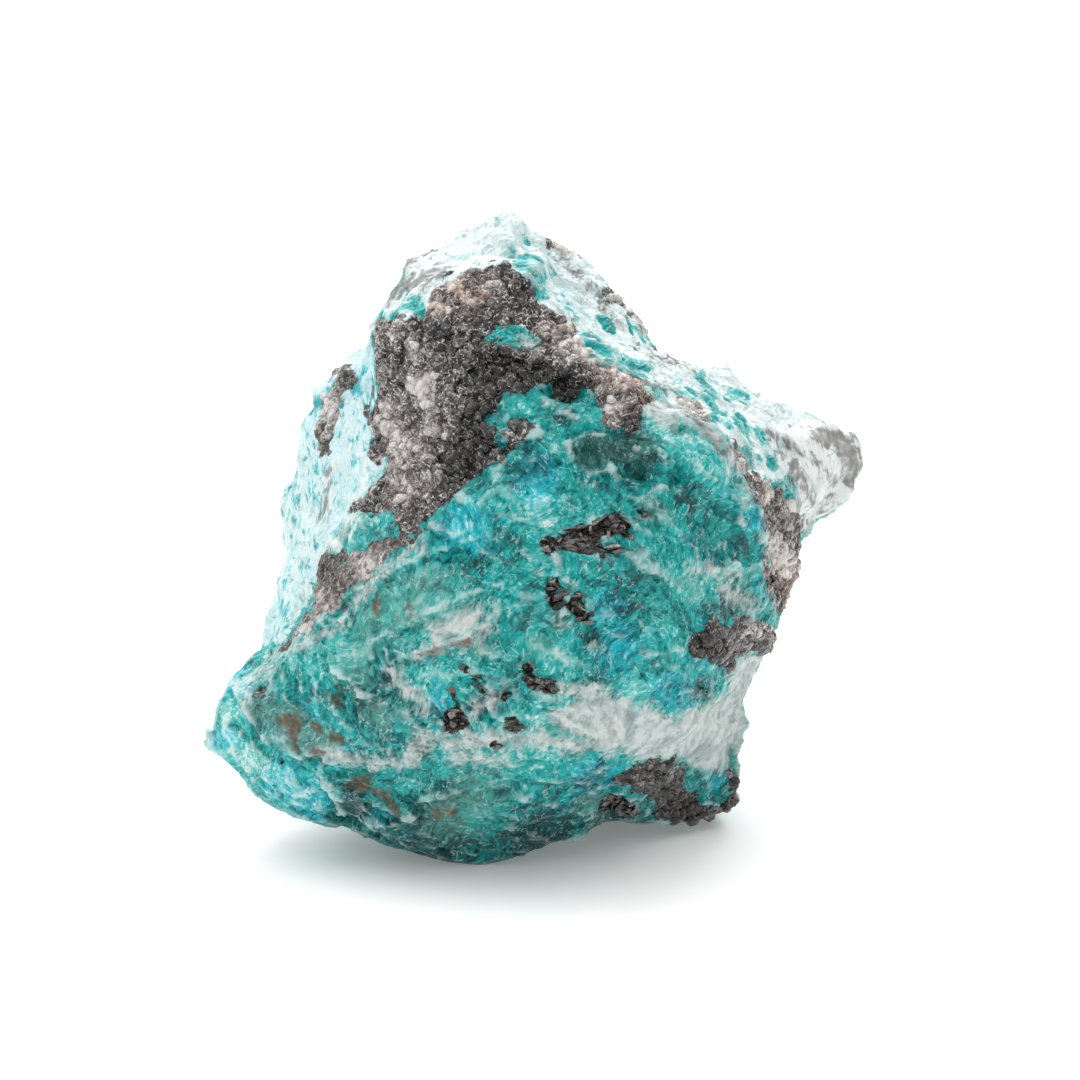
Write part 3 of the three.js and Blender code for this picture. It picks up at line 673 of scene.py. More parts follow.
def add(tree, kind, inputs, output=0, stops=(), **settings):
    """Adds a node and returns one of its outputs, or the node. inputs: a socket's name or number to its
    value, or to the output that is linked to it. stops: position and colour of a colour ramp's stops."""
    node = tree.nodes.new(kind)
    for name, value in settings.items():
        setattr(node, name, value)
    for name, value in inputs.items():
        if isinstance(value, bpy.types.NodeSocket):
            tree.links.new(value, node.inputs[name])
        else:
            node.inputs[name].default_value = value
    for number, (where, hex_colour) in enumerate(stops):
        elements = node.color_ramp.elements
        stop = elements[number] if number < 2 else elements.new(1.0)
        stop.position = where
        stop.color = linear(hex_colour)
    return node if output is None else node.outputs[output]


MATH = "ShaderNodeMath"
VECTOR = "ShaderNodeVectorMath"
MIX = "ShaderNodeMix"  # 0: share, 2 and 3: numbers, 6 and 7: colours, which give output 2
NOISE = "ShaderNodeTexNoise"
VORONOI = "ShaderNodeTexVoronoi"
RAMP = "ShaderNodeValToRGB"
RANGE = "ShaderNodeMapRange"  # 0: value, 1 and 2: from these two levels, 3 and 4: to these, or 0 and 1
SOFT = {"interpolation_type": "SMOOTHSTEP"}  # eases in and out
ATTRIBUTE = "ShaderNodeAttribute"


def bare_material(name):
    """A material without nodes; its tree; and the place on the piece in mm."""
    material = bpy.data.materials.new(name)
    material.use_nodes = True
    tree = material.node_tree
    tree.nodes.clear()
    where = add(tree, "ShaderNodeTexCoord", {}, "Object")
    return material, tree, add(tree, VECTOR, {0: where, "Scale": 1 / MM}, operation="SCALE")


rock, nodes, place = bare_material("amazonite_broken_feldspar")
carried = {}  # the numbers that the mesh carries at its points
for name in (
    "tone", "blue", "grey", "veil", "pale_side", "edge_wear", "smear", "smoke", "albite", "rust", "quartz",
    "mica",
):
    carried[name] = add(nodes, ATTRIBUTE, {}, "Fac", attribute_name=name)


def spread(tree, parts, start=0.0):
    """Adds up patterns of 0 to 1 around their middle, each with its weight."""
    total = start
    for pattern, weight in parts:
        centred = add(tree, MATH, {0: pattern, 1: 0.5}, operation="SUBTRACT")
        total = add(tree, MATH, {0: centred, 1: weight, 2: total}, operation="MULTIPLY_ADD")
    return total


def swirled(where, scale, amount):
    """The place, moved about by noise with so many features per mm, by up to that many mm."""
    swirl = add(nodes, NOISE, {"Vector": where, "Scale": scale, "Detail": 1.0}, "Color")
    centred = add(nodes, VECTOR, {0: swirl, 1: (0.5, 0.5, 0.5)}, operation="SUBTRACT")
    moved = add(nodes, VECTOR, {0: centred, "Scale": 2 * amount}, operation="SCALE")
    return add(nodes, VECTOR, {0: where, 1: moved}, operation="ADD")


def flakes(where):
    """Broken cleavage flakes, 1 across in that space: their shade, which runs through each flake and jumps
    between two, and their height, each flake being tilted its own way."""
    cell = add(nodes, VORONOI, {"Vector": where, "Scale": 1.0}, None)
    own = cell.outputs["Color"]
    jumped = add(nodes, VECTOR, {0: own, "Scale": 9.0}, operation="SCALE")
    jumped = add(nodes, VECTOR, {0: jumped, 1: where}, operation="ADD")
    shade = add(nodes, NOISE, {"Vector": jumped, "Scale": 0.7, "Detail": 2.0, "Roughness": 0.6})
    even = add(nodes, VECTOR, {0: own, 1: (1.0, 0.0, 0.0)}, "Value", operation="DOT_PRODUCT")
    shade = spread(nodes, [(even, 0.3)], shade)
    centred = add(nodes, VECTOR, {0: own, 1: (0.5, 0.5, 0.5)}, operation="SUBTRACT")
    from_middle = add(nodes, VECTOR, {0: where, 1: cell.outputs["Position"]}, operation="SUBTRACT")
    return shade, add(nodes, VECTOR, {0: centred, 1: from_middle}, "Value", operation="DOT_PRODUCT")


def threads(tree, where, width):
    """Thin wavering lines where smooth noise passes its middle value, 1 apart in that space."""
    level = add(tree, NOISE, {"Vector": where, "Scale": 1.0, "Detail": 1.5, "Roughness": 0.5})
    away = add(tree, MATH, {0: level, 1: 0.5}, operation="SUBTRACT")
    away = add(tree, MATH, {0: away}, operation="ABSOLUTE")
    return add(tree, RANGE, {0: away, 1: width, 2: width * 0.2}, **SOFT)


# Each pattern is drawn out its own way: its x axis is tilted up by so many degrees in the front view, and its
# features have that size in mm each way. The thinnest real threads would not show, so theirs are coarser.
flowing = swirled(swirled(place, 0.16, 2.0), 0.9, 0.2)
drawn_out = {}
for name, where, tilt, size in (
    ("broad flakes", flowing, 27, (2.4, 1.3, 1.1)), ("flakes", flowing, -40, (1.0, 0.8, 0.5)),
    ("fine flakes", flowing, 66, (0.5, 0.42, 0.26)), ("silk", flowing, 27, (2.2, 0.8, 0.22)),
    ("milk", flowing, -30, (2.6, 1.5, 1.0)), ("threads", flowing, 30, (1.6, 1.0, 0.7)),
    ("flow lines", flowing, -38, (3.0, 0.9, 0.6)),
    ("quartz rims", swirled(place, 1.2, 0.5), 70, (0.55, 0.45, 0.4)),
):
    drawn_out[name] = add(nodes, "ShaderNodeMapping", {
        "Vector": where, "Rotation": (0, math.radians(-tilt), 0), "Scale": size,
    }, vector_type="TEXTURE")
broad_shade, broad_height = flakes(drawn_out["broad flakes"])
mid_shade, mid_height = flakes(drawn_out["flakes"])
fine_shade, fine_height = flakes(drawn_out["fine flakes"])
mid_border = add(nodes, VORONOI, {"Vector": drawn_out["flakes"], "Scale": 1.0}, "Distance",
                 feature="DISTANCE_TO_EDGE")
silk = add(nodes, NOISE, {"Vector": drawn_out["silk"], "Scale": 1.0, "Detail": 2.0})
patchy = add(nodes, NOISE, {"Vector": place, "Scale": 0.5, "Detail": 3.0})
shade = spread(nodes, [
    (broad_shade, 0.42), (mid_shade, 0.6), (fine_shade, 0.6), (silk, 0.25), (patchy, 0.5),
], carried["tone"])

# The feldspar itself is teal in some places and turquoise in others, deeper or paler with its shade.
teal = add(nodes, RAMP, {0: shade}, stops=[
    (0.08, "#004244"), (0.24, "#006e6f"), (0.4, "#009591"), (0.54, "#0fa9a5"), (0.68, "#5dbdb9"),
    (0.9, "#cfe3e0"),
])
turquoise = add(nodes, RAMP, {0: shade}, stops=[
    (0.08, "#004850"), (0.24, "#007480"), (0.4, "#009ca7"), (0.54, "#06b3bd"), (0.68, "#5cc9cf"),
    (0.9, "#d4e9eb"),
])
blue_noise = add(nodes, NOISE, {"Vector": flowing, "Scale": 0.8, "Detail": 3.0})
blue_level = spread(nodes, [(blue_noise, 1.6)], carried["blue"])
blueness = add(nodes, RANGE, {0: blue_level, 1: 0.1, 2: 0.7}, **SOFT)
# Parts of it are translucent and greyer, like glass.
grey_noise = add(nodes, NOISE, {"Vector": flowing, "Scale": 1.2, "Detail": 3.0})
grey_level = spread(nodes, [(grey_noise, 1.0)], carried["grey"])
greyness = add(nodes, RANGE, {0: grey_level, 1: 0.3, 2: 0.8, 4: 0.7}, **SOFT)
grey_glass = add(nodes, RAMP, {0: shade}, stops=[(0.1, "#1f4a47"), (0.5, "#5f8b86"), (0.9, "#b9cdca")])
# A thin greenish film makes some of it cloudy.
VEIL = "#6aa598"
veil_level = spread(nodes, [(grey_noise, 1.6), (fine_shade, 0.8)], carried["veil"])
veil_share = add(nodes, RANGE, {0: veil_level, 1: 0.4, 2: 1.05, 4: 0.45}, **SOFT)
# Milky feldspar covers most of the pale sides and some of the front; on the pale sides it spreads further as
# painted light.
MILK = "#e4edec"
BLUE_MILK = "#c9e4ea"
milk_noise = add(nodes, NOISE, {"Vector": drawn_out["milk"], "Scale": 1.0, "Detail": 4.0})
milk_level = add(nodes, MATH, {0: carried["pale_side"], 1: 0.46, 2: milk_noise}, operation="MULTIPLY_ADD")
milk_level = spread(nodes, [(mid_shade, 0.4)], milk_level)
milk_share = add(nodes, RANGE, {0: milk_level, 1: 0.72, 2: 0.9, 4: 0.85}, **SOFT)
milk_colour = add(nodes, MIX, {0: blueness, 6: linear(MILK), 7: linear(BLUE_MILK)}, 2, data_type="RGBA")
# Bluish grey lines run through the pale sides, and white threads, thin and broken, through the teal.
FLOW_LINE = "#86aeb0"
THREAD = "#c4e2df"
flow_lines = threads(nodes, drawn_out["flow lines"], 0.03)
on_pale = add(nodes, RANGE, {0: carried["pale_side"], 4: 0.5}, **SOFT)
flow_share = add(nodes, MATH, {0: flow_lines, 1: on_pale}, operation="MULTIPLY")
thread_share = add(nodes, MATH, {
    0: threads(nodes, drawn_out["threads"], 0.02),
    1: add(nodes, RANGE, {0: mid_border, 1: 0.07, 2: 0.015}, **SOFT),
}, operation="MAXIMUM")
for pattern, low, high, least, most in (
    (fine_shade, 0.4, 0.65, 0.05, 0.6), (grey_noise, 0.44, 0.58, 0.1, 1.0),
):
    broken = add(nodes, RANGE, {0: pattern, 1: low, 2: high, 3: least, 4: most}, **SOFT)
    thread_share = add(nodes, MATH, {0: thread_share, 1: broken}, operation="MULTIPLY")
# Edges that stand out are painted white, partly powdery broken feldspar and partly a painted highlight; the
# creases between are painted deep teal as painted shade, least so on the pale sides.
EDGE_POWDER_AND_HIGHLIGHT = "#d5e8e6"
CREASE_SHADE = "#045f5d"
edge_powder_and_highlight_share = add(nodes, RANGE, {0: carried["edge_wear"], 1: 0.15, 2: 0.9, 4: 0.6}, **SOFT)
crease_shade_share = add(nodes, MATH, {
    0: add(nodes, RANGE, {0: carried["edge_wear"], 1: -0.15, 2: -0.9, 4: 0.5}, **SOFT),
    1: add(nodes, RANGE, {0: carried["pale_side"], 3: 1.0, 4: 0.3}, **SOFT),
}, operation="MULTIPLY")
feldspar = teal
for share, layer in (
    (blueness, turquoise), (greyness, grey_glass), (veil_share, linear(VEIL)), (milk_share, milk_colour),
    (flow_share, linear(FLOW_LINE)), (thread_share, linear(THREAD)), (edge_powder_and_highlight_share, linear(EDGE_POWDER_AND_HIGHLIGHT)),
    (crease_shade_share, linear(CREASE_SHADE)),
):
    feldspar = add(nodes, MIX, {0: share, 6: feldspar, 7: layer}, 2, data_type="RGBA")

# Each of the other minerals takes over with a ragged border: how uneven and how soft that is, and how much
# of the feldspar it hides.
border_noise = add(nodes, NOISE, {"Vector": place, "Scale": 1.3, "Detail": 4.0})
ragged = spread(nodes, [(border_noise, 1.3), (fine_shade, 0.5)])
shares = {}
for name, uneven, soft, hides in (
    ("albite", 1.9, 0.6, 0.92), ("rust", 0.7, 0.2, 0.8), ("quartz", 0.8, 0.1, 1.0), ("mica", 0.7, 0.06, 1.0),
):
    level = add(nodes, MATH, {0: ragged, 1: uneven, 2: carried[name]}, operation="MULTIPLY_ADD")
    shares[name] = add(nodes, RANGE, {0: level, 1: -soft, 2: soft, 4: hides}, **SOFT)

# Milky albite, clouded grey and a little pink, and painted whiter on the pale sides, partly as painted light.
PALE_AND_LIT_ALBITE = "#e3e9e8"
cloud = add(nodes, NOISE, {"Vector": flowing, "Scale": 0.8, "Detail": 5.0})
cloud = spread(nodes, [(mid_shade, 0.25), (fine_shade, 0.25)], cloud)
albite_colour = add(nodes, RAMP, {0: cloud}, stops=[
    (0.25, "#8a9795"), (0.42, "#a9b4b2"), (0.54, "#c6cdcb"), (0.64, "#d6dbd9"), (0.78, "#cfc2b8"),
])
whiter = add(nodes, MATH, {0: carried["pale_side"], 1: 0.8}, operation="MULTIPLY")
albite_colour = add(nodes, MIX, {0: whiter, 6: albite_colour, 7: linear(PALE_AND_LIT_ALBITE)}, 2, data_type="RGBA")
# Smoky quartz between the kernels: dark glass, with pale broken rims painted on as glints.
PAINTED_RIM_GLINT = "#b9b4b1"
kernel_space = add(nodes, VECTOR, {0: swirled(place, 1.5, 0.25), "Scale": 1.9}, operation="SCALE")
kernel_cell = add(nodes, VORONOI, {"Vector": kernel_space, "Scale": 1.0}, None)
kernel_own = add(nodes, "ShaderNodeSeparateColor", {0: kernel_cell.outputs["Color"]})
clearness = add(nodes, MATH, {0: 1.0, 1: carried["smoke"]}, operation="SUBTRACT")
glass_noise = add(nodes, NOISE, {"Vector": place, "Scale": 2.2, "Detail": 4.0, "Roughness": 0.65})
glass_shade = spread(nodes, [(kernel_own, 0.3), (glass_noise, 0.9), (clearness, 0.75)], 0.42)
quartz_colour = add(nodes, RAMP, {0: glass_shade}, stops=[
    (0.08, "#161311"), (0.3, "#2f2b29"), (0.5, "#4d4845"), (0.68, "#857f7b"), (0.9, "#d0cdca"),
])
rim_glint_share = add(nodes, MATH, {
    0: threads(nodes, drawn_out["quartz rims"], 0.05),
    1: add(nodes, RANGE, {0: glass_noise, 1: 0.42, 2: 0.62, 3: 0.08, 4: 0.85}, **SOFT),
}, operation="MULTIPLY")
quartz_colour = add(nodes, MIX, {0: rim_glint_share, 6: quartz_colour, 7: linear(PAINTED_RIM_GLINT)}, 2, data_type="RGBA")
# Rust, mica under its plates, and smears of mica that is too fine to see as plates.
rust_colour = add(nodes, RAMP, {0: glass_noise}, stops=[
    (0.32, "#2e2117"), (0.5, "#5d4329"), (0.68, "#86693f"),
])
mica_colour = add(nodes, RAMP, {0: glass_noise}, stops=[
    (0.35, "#120f0d"), (0.6, "#342c28"), (0.75, "#7d746c"),
])
smear_colour = add(nodes, RAMP, {0: grey_noise}, stops=[
    (0.33, "#a5a19d"), (0.47, "#7d7874"), (0.64, "#48433f"),
])
smear_level = spread(nodes, [(grey_noise, 2.4), (fine_shade, 0.8)], carried["smear"])
smear_share = add(nodes, RANGE, {0: smear_level, 1: -0.2, 2: 0.5, 4: 0.75}, **SOFT)
colour = feldspar
for share, layer in (
    (shares["albite"], albite_colour), (shares["rust"], rust_colour), (smear_share, smear_colour),
    (shares["quartz"], quartz_colour), (shares["mica"], mica_colour),
):
    colour = add(nodes, MIX, {0: share, 6: colour, 7: layer}, 2, data_type="RGBA")

# Feldspar is satin, duller in some flakes than in others; each other mineral has its own roughness.
gloss = add(nodes, RANGE, {0: mid_shade, 1: 0.3, 2: 0.7, 3: 0.28, 4: 0.55}, **SOFT)
for name, roughness in (("albite", 0.5), ("rust", 0.75), ("quartz", 0.15), ("mica", 0.25)):
    gloss = add(nodes, MIX, {0: shares[name], 2: gloss, 3: roughness})

# The bump under about 0.3 mm, in mm: flakes and threads, smoother in albite, kernels in quartz.
height = 0.0
for part, rise in (
    (broad_height, 0.3), (mid_height, 0.26), (fine_height, 0.16), (silk, 0.12), (thread_share, 0.04),
):
    height = add(nodes, MATH, {0: part, 1: rise, 2: height}, operation="MULTIPLY_ADD")
smooth_height = add(nodes, MATH, {0: height, 1: 0.3}, operation="MULTIPLY")
kernel_height = add(nodes, MATH, {0: kernel_cell.outputs["Distance"], 1: -0.4}, operation="MULTIPLY")
kernel_height = add(nodes, MATH, {0: glass_noise, 1: 0.5, 2: kernel_height}, operation="MULTIPLY_ADD")
height = add(nodes, MIX, {0: shares["albite"], 2: height, 3: smooth_height})
height = add(nodes, MIX, {0: shares["quartz"], 2: height, 3: kernel_height})
bump = add(nodes, "ShaderNodeBump", {"Height": height, "Strength": 0.65, "Distance": MM})

surface = add(nodes, "ShaderNodeBsdfPrincipled", {
    "Base Color": colour, "Roughness": gloss, "Normal": bump, "IOR": 1.53, "Specular IOR Level": 0.24,
})
add(nodes, "ShaderNodeOutputMaterial", {"Surface": surface}, None)

body.data.materials.clear()
body.data.materials.append(rock)
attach(body, "root")
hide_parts("amazonite")


# ---- quartz kernels -----------------------------------------------------------------------------------
# The smoky quartz is a mass of glassy kernels about a millimetre across that have come apart along their
# borders, so each stands out as a small lump, dark inside and pale along its rim, a painted rim light.

KERNEL_SPACING = 0.66  # mm
KERNEL_RADIUS = 0.6  # mm
KERNEL_SUNK = 0.5  # of its radius, below the surface
MOST_POINTS = 2.0e7  # per square metre, more than the spacing lets stand
UNEVEN_SCALE = 1500.0  # bumps per metre that make no two of them alike


def strew(name, shape, sizes, finish_material):
    """Small solids strewn over the body where one of its minerals is. shape makes one of them in the given
    tree, and sizes are the tree's named inputs, in metres and radians. The result is one plain mesh."""
    tree = bpy.data.node_groups.new(name, "GeometryNodeTree")
    tree.interface.new_socket("Geometry", in_out="INPUT", socket_type="NodeSocketGeometry")
    tree.interface.new_socket("Geometry", in_out="OUTPUT", socket_type="NodeSocketGeometry")
    kinds = {
        int: "NodeSocketInt", str: "NodeSocketString", tuple: "NodeSocketVector", float: "NodeSocketFloat",
        bool: "NodeSocketBool",
    }
    for label, value in sizes.items():
        tree.interface.new_socket(label, in_out="INPUT", socket_type=kinds[type(value)])
    given = add(tree, "NodeGroupInput", {}, None).outputs
    seed = given["Seed"]
    mineral = add(tree, "GeometryNodeInputNamedAttribute", {"Name": given["Mineral"]}, "Attribute",
                  data_type="FLOAT")
    inside = add(tree, MATH, {0: mineral, 1: given["Inside"]}, operation="GREATER_THAN")
    strewn = add(tree, "GeometryNodeDistributePointsOnFaces", {
        "Mesh": given["Geometry"], "Distance Min": given["Spacing"], "Density Max": given["Density"],
        "Density Factor": inside, "Seed": seed,
    }, None, distribute_method="POISSON")
    tilt = add(tree, "FunctionNodeRandomValue", {0: (-1.0, -1.0, -1.0), 1: (1.0, 1.0, 1.0), "Seed": seed},
               data_type="FLOAT_VECTOR")
    tilt = add(tree, VECTOR, {0: tilt, 1: given["Tilt"]}, operation="MULTIPLY")
    turn = add(tree, "FunctionNodeEulerToRotation", {0: tilt})
    lay = add(tree, "FunctionNodeRotateRotation", {
        "Rotation": strewn.outputs["Rotation"], "Rotate By": turn,
    }, rotation_space="LOCAL")
    size = add(tree, "FunctionNodeRandomValue", {0: given["Least"], 1: given["Most"], "Seed": seed},
               data_type="FLOAT_VECTOR")
    placed = add(tree, "GeometryNodeInstanceOnPoints", {
        "Points": strewn.outputs["Points"], "Instance": shape(tree), "Rotation": lay, "Scale": size,
    })
    own_shade = add(tree, "FunctionNodeRandomValue", {2: 0.0, 3: 1.0, "Seed": seed}, 1, data_type="FLOAT")
    shaded = add(tree, "GeometryNodeStoreNamedAttribute", {
        "Geometry": placed, "Name": "shade", "Value": own_shade,
    }, data_type="FLOAT", domain="INSTANCE")
    joined = add(tree, "GeometryNodeRealizeInstances", {0: shaded})
    uneven = add(tree, NOISE, {
        "Vector": add(tree, "GeometryNodeInputPosition", {}), "Scale": given["Uneven Scale"], "Detail": 1.0,
    }, "Color")
    centred = add(tree, VECTOR, {0: uneven, 1: (0.5, 0.5, 0.5)}, operation="SUBTRACT")
    offset = add(tree, VECTOR, {0: centred, "Scale": given["Uneven"]}, operation="SCALE")
    moved = add(tree, "GeometryNodeSetPosition", {"Geometry": joined, "Offset": offset})
    moved = add(tree, "GeometryNodeSetShadeSmooth", {"Geometry": moved, "Shade Smooth": given["Smooth"]})
    painted = add(tree, "GeometryNodeSetMaterial", {"Geometry": moved, "Material": finish_material})
    add(tree, "NodeGroupOutput", {0: painted}, None)

    piece = bpy.data.objects.new(name, body.data.copy())
    bpy.context.scene.collection.objects.link(piece)
    modifier = piece.modifiers.new(name, "NODES")
    modifier.node_group = tree
    for item in tree.interface.items_tree:
        if item.in_out == "INPUT" and item.name in sizes:
            modifier[item.identifier] = sizes[item.name]
    apply_modifiers(piece)
    return piece


def kernel(tree):
    """A round kernel that carries how far down its side each point is."""
    ball = add(tree, "GeometryNodeMeshUVSphere", {"Radius": 1.0, "Segments": 8, "Rings": 5}, "Mesh")
    up = add(tree, "ShaderNodeSeparateXYZ", {0: add(tree, "GeometryNodeInputPosition", {})}, 2)
    down = add(tree, MATH, {0: 1.0, 1: up}, operation="SUBTRACT")
    marked = add(tree, "GeometryNodeStoreNamedAttribute", {"Geometry": ball, "Name": "rim", "Value": down},
                 data_type="FLOAT", domain="POINT")
    return add(tree, "GeometryNodeTransform", {"Geometry": marked, "Translation": (0.0, 0.0, -KERNEL_SUNK)})


# Smoky quartz, broken: a glassy fracture on every kernel, grey-brown with depth, with a painted rim light
# along its side and painted glints along its cracks.
PAINTED_RIM_LIGHT = "#b3ada8"
PAINTED_CRACK_GLINT = "#e6e3e1"
smoky, glass, glass_place = bare_material("smoky_quartz_kernels")
kernel_carries = {}
for name in ("smoke", "shade", "tan", "rim", "crisp"):
    kernel_carries[name] = add(glass, ATTRIBUTE, {}, "Fac", attribute_name=name)
clouds = add(glass, NOISE, {"Vector": glass_place, "Scale": 1.1, "Detail": 3.0})
fractures = add(glass, NOISE, {"Vector": glass_place, "Scale": 5.0, "Detail": 3.0, "Roughness": 0.6})
clearness = add(glass, MATH, {0: 1.0, 1: kernel_carries["smoke"]}, operation="SUBTRACT")
level = spread(glass, [
    (kernel_carries["shade"], 0.4), (clouds, 0.9), (fractures, 1.0), (clearness, 0.9),
], 0.32)
kernel_colour = add(glass, RAMP, {0: level}, stops=[
    (0.06, "#12100f"), (0.28, "#292624"), (0.46, "#4b4541"), (0.62, "#877f79"), (0.85, "#d6d3d1"),
])
tan_colour = add(glass, RAMP, {0: level}, stops=[
    (0.06, "#1c130d"), (0.28, "#46362b"), (0.46, "#7a6353"), (0.62, "#a9907f"), (0.85, "#dcc9bb"),
])
# The painted rim light and crack glints are broken, and faint where the quartz is smoky; the crack glints are
# crispest on the upper face.
crack_glint_space = add(glass, VECTOR, {0: glass_place, "Scale": 1.5}, operation="SCALE")
rim = add(glass, RANGE, {0: kernel_carries["rim"], 1: 0.1, 2: 0.75}, **SOFT)
for pattern, low, high, least, most in (
    (fractures, 0.36, 0.62, 0.1, 0.8), (clearness, 0.0, 0.35, 0.1, 1.0),
):
    fading = add(glass, RANGE, {0: pattern, 1: low, 2: high, 3: least, 4: most}, **SOFT)
    rim = add(glass, MATH, {0: rim, 1: fading}, operation="MULTIPLY")
crack_glints = threads(glass, crack_glint_space, 0.035)
for pattern, low, high, least, most in (
    (fractures, 0.4, 0.58, 0.1, 0.9), (kernel_carries["crisp"], 0.0, 1.0, 0.35, 1.0),
    (clearness, 0.0, 0.35, 0.4, 1.0),
):
    fading = add(glass, RANGE, {0: pattern, 1: low, 2: high, 3: least, 4: most}, **SOFT)
    crack_glints = add(glass, MATH, {0: crack_glints, 1: fading}, operation="MULTIPLY")
for share, layer in (
    (kernel_carries["tan"], tan_colour), (rim, linear(PAINTED_RIM_LIGHT)), (crack_glints, linear(PAINTED_CRACK_GLINT)),
):
    kernel_colour = add(glass, MIX, {0: share, 6: kernel_colour, 7: layer}, 2, data_type="RGBA")
kernel_gloss = add(glass, RANGE, {0: clouds, 1: 0.3, 2: 0.7, 3: 0.05, 4: 0.2}, **SOFT)
kernel_bump = add(glass, "ShaderNodeBump", {"Height": fractures, "Strength": 0.6, "Distance": 0.25 * MM})
kernel_surface = add(glass, "ShaderNodeBsdfPrincipled", {
    "Base Color": kernel_colour, "Roughness": kernel_gloss, "Normal": kernel_bump, "IOR": 1.544,
    "Specular IOR Level": 0.55,
})
add(glass, "ShaderNodeOutputMaterial", {"Surface": kernel_surface}, None)

kernels = strew("quartz_kernels", kernel, {
    "Mineral": "grains", "Inside": 0.2, "Spacing": KERNEL_SPACING * MM, "Density": MOST_POINTS,
    "Seed": 11, "Tilt": (0.5, 0.5, 3.14), "Least": (0.6 * KERNEL_RADIUS * MM,) * 3,
    "Most": (1.3 * KERNEL_RADIUS * MM,) * 3, "Uneven Scale": UNEVEN_SCALE, "Uneven": 0.5 * MM, "Smooth": True,
}, smoky)
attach(kernels, "root")


# ---- mica plates --------------------------------------------------------------------------------------
# Dark mica grew into the feldspar as small books of thin plates. Where the stone broke through them they are
# split along their flat cleavage and stand at many angles, each plate 0.6 to 1.7 mm long.

PLATE_SPACING = 0.42  # mm


def plate(tree):
    """A six-sided plate, 1 thick."""
    return add(tree, "GeometryNodeMeshCylinder", {"Vertices": 6, "Radius": 1.0, "Depth": 1.0}, "Mesh",
               fill_type="NGON")


# Biotite mica: brown-black, with a pearly, almost metallic glint where a plate lies flat; its palest grey is
# a painted glint on some plates and along scratches.
dark_mica, books, book_place = bare_material("biotite_split_plates")
own_shade = add(books, ATTRIBUTE, {}, "Fac", attribute_name="shade")
scratches = add(books, NOISE, {"Vector": book_place, "Scale": 4.0, "Detail": 3.0})
level = spread(books, [(own_shade, 0.6), (scratches, 0.9)], 0.45)
plate_colour = add(books, RAMP, {0: level}, stops=[
    (0.25, "#120f0e"), (0.5, "#2e2622"), (0.68, "#5d5049"), (0.85, "#b5aca5"),
])
plate_gloss = add(books, RANGE, {0: scratches, 1: 0.3, 2: 0.7, 3: 0.1, 4: 0.35}, **SOFT)
plate_bump = add(books, "ShaderNodeBump", {"Height": scratches, "Strength": 0.5, "Distance": 0.15 * MM})
plate_surface = add(books, "ShaderNodeBsdfPrincipled", {
    "Base Color": plate_colour, "Roughness": plate_gloss, "Normal": plate_bump, "IOR": 1.58,
    "Specular IOR Level": 1.0,
})
add(books, "ShaderNodeOutputMaterial", {"Surface": plate_surface}, None)

plates = strew("mica_plates", plate, {
    "Mineral": "mica", "Inside": 0.02, "Spacing": PLATE_SPACING * MM, "Density": MOST_POINTS,
    "Seed": 23, "Tilt": (0.8, 0.8, 0.6), "Least": (0.3 * MM, 0.15 * MM, 0.06 * MM),
    "Most": (0.85 * MM, 0.35 * MM, 0.3 * MM), "Uneven Scale": UNEVEN_SCALE, "Uneven": 0.25 * MM,
    "Smooth": False,
}, dark_mica)
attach(plates, "root")


# ---- floor and light ----------------------------------------------------------------------------------
# A white table top in a white room. Most of the light comes from the bright ceiling and from a large softbox
# above and behind the stone; a smaller one stands to its left.

FLOOR_HALF = 3.0  # m
FLOOR_GLOW = 0.18  # it is lit from below as well, as a light table is
WALL_LIGHT = 0.05  # what the stone gets from the walls, as a share of white
CEILING_LIGHT = 2.2  # and from the bright ceiling above that; the camera sees the room white

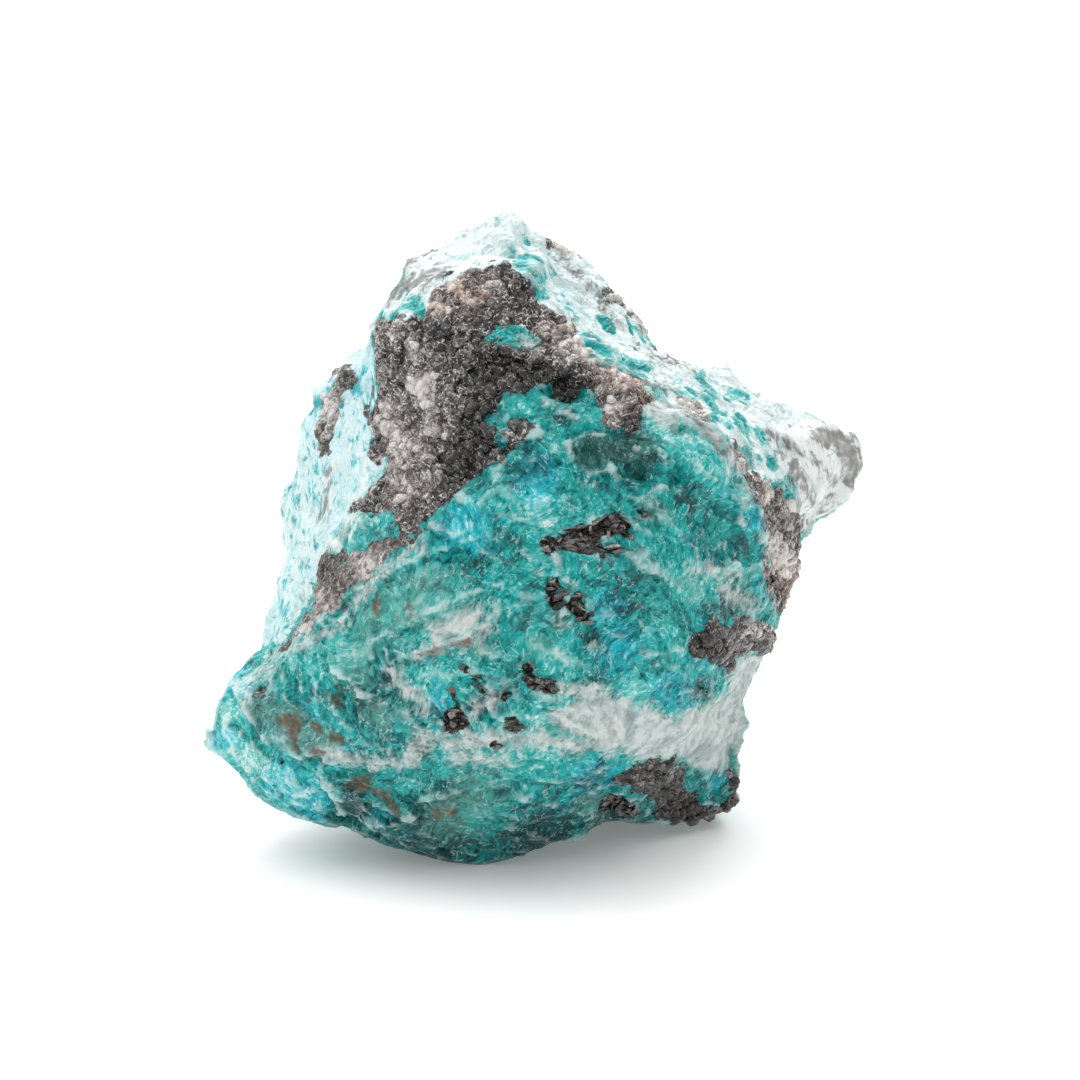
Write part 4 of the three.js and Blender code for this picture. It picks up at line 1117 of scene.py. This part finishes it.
floor_mesh = bpy.data.meshes.new("floor")
floor_corners = [(-1, -1, 0), (1, -1, 0), (1, 1, 0), (-1, 1, 0)]
floor_mesh.from_pydata([[FLOOR_HALF * c for c in corner] for corner in floor_corners], [], [(0, 1, 2, 3)])
floor = bpy.data.objects.new("floor", floor_mesh)
bpy.context.scene.collection.objects.link(floor)
# Matt white paper, which shows a soft shadow.
paper = bpy.data.materials.new("white_paper")
paper.use_nodes = True
paper_shader = paper.node_tree.nodes["Principled BSDF"]
paper_shader.inputs["Base Color"].default_value = linear("#f7f5f4")
paper_shader.inputs["Roughness"].default_value = 0.9
paper_shader.inputs["Specular IOR Level"].default_value = 0.1
paper_shader.inputs["Emission Color"].default_value = (1, 1, 1, 1)
paper_shader.inputs["Emission Strength"].default_value = FLOOR_GLOW
floor_mesh.materials.append(paper)

world = bpy.data.worlds.new("white_room")
world.use_nodes = True
world_nodes = world.node_tree
direction = add(world_nodes, "ShaderNodeTexCoord", {}, "Generated")
height_of_ray = add(world_nodes, "ShaderNodeSeparateXYZ", {0: direction}, 2)
upward = add(world_nodes, MATH, {0: height_of_ray, 1: 0.0}, operation="MAXIMUM")
ceiling = add(world_nodes, MATH, {0: upward, 1: 2.0}, operation="POWER")
room_light = add(world_nodes, MATH, {0: ceiling, 1: CEILING_LIGHT, 2: WALL_LIGHT}, operation="MULTIPLY_ADD")
seen_directly = add(world_nodes, "ShaderNodeLightPath", {}, "Is Camera Ray")
room = world_nodes.nodes["Background"]
room.inputs["Color"].default_value = (1, 1, 1, 1)
brightness = add(world_nodes, MIX, {0: seen_directly, 2: room_light, 3: 1.0})
world_nodes.links.new(brightness, room.inputs["Strength"])
bpy.context.scene.world = world


def lamp(name, position, size, watts):
    """A square lamp that looks at the stone; position in metres."""
    light = bpy.data.lights.new(name, "AREA")
    light.size = size
    light.energy = watts
    lit = bpy.data.objects.new(name, light)
    lit.location = position
    aim = Vector(VIEW_CENTRE * MM) - Vector(position)
    lit.rotation_euler = aim.to_track_quat("-Z", "Y").to_euler()
    bpy.context.scene.collection.objects.link(lit)


lamp("softbox_behind", (0.1, 0.9, 0.8), 0.8, 9.5)
lamp("softbox_left", (-0.9, 0.35, 0.6), 0.6, 3.6)

bpy.context.scene.view_settings.view_transform = "Standard"
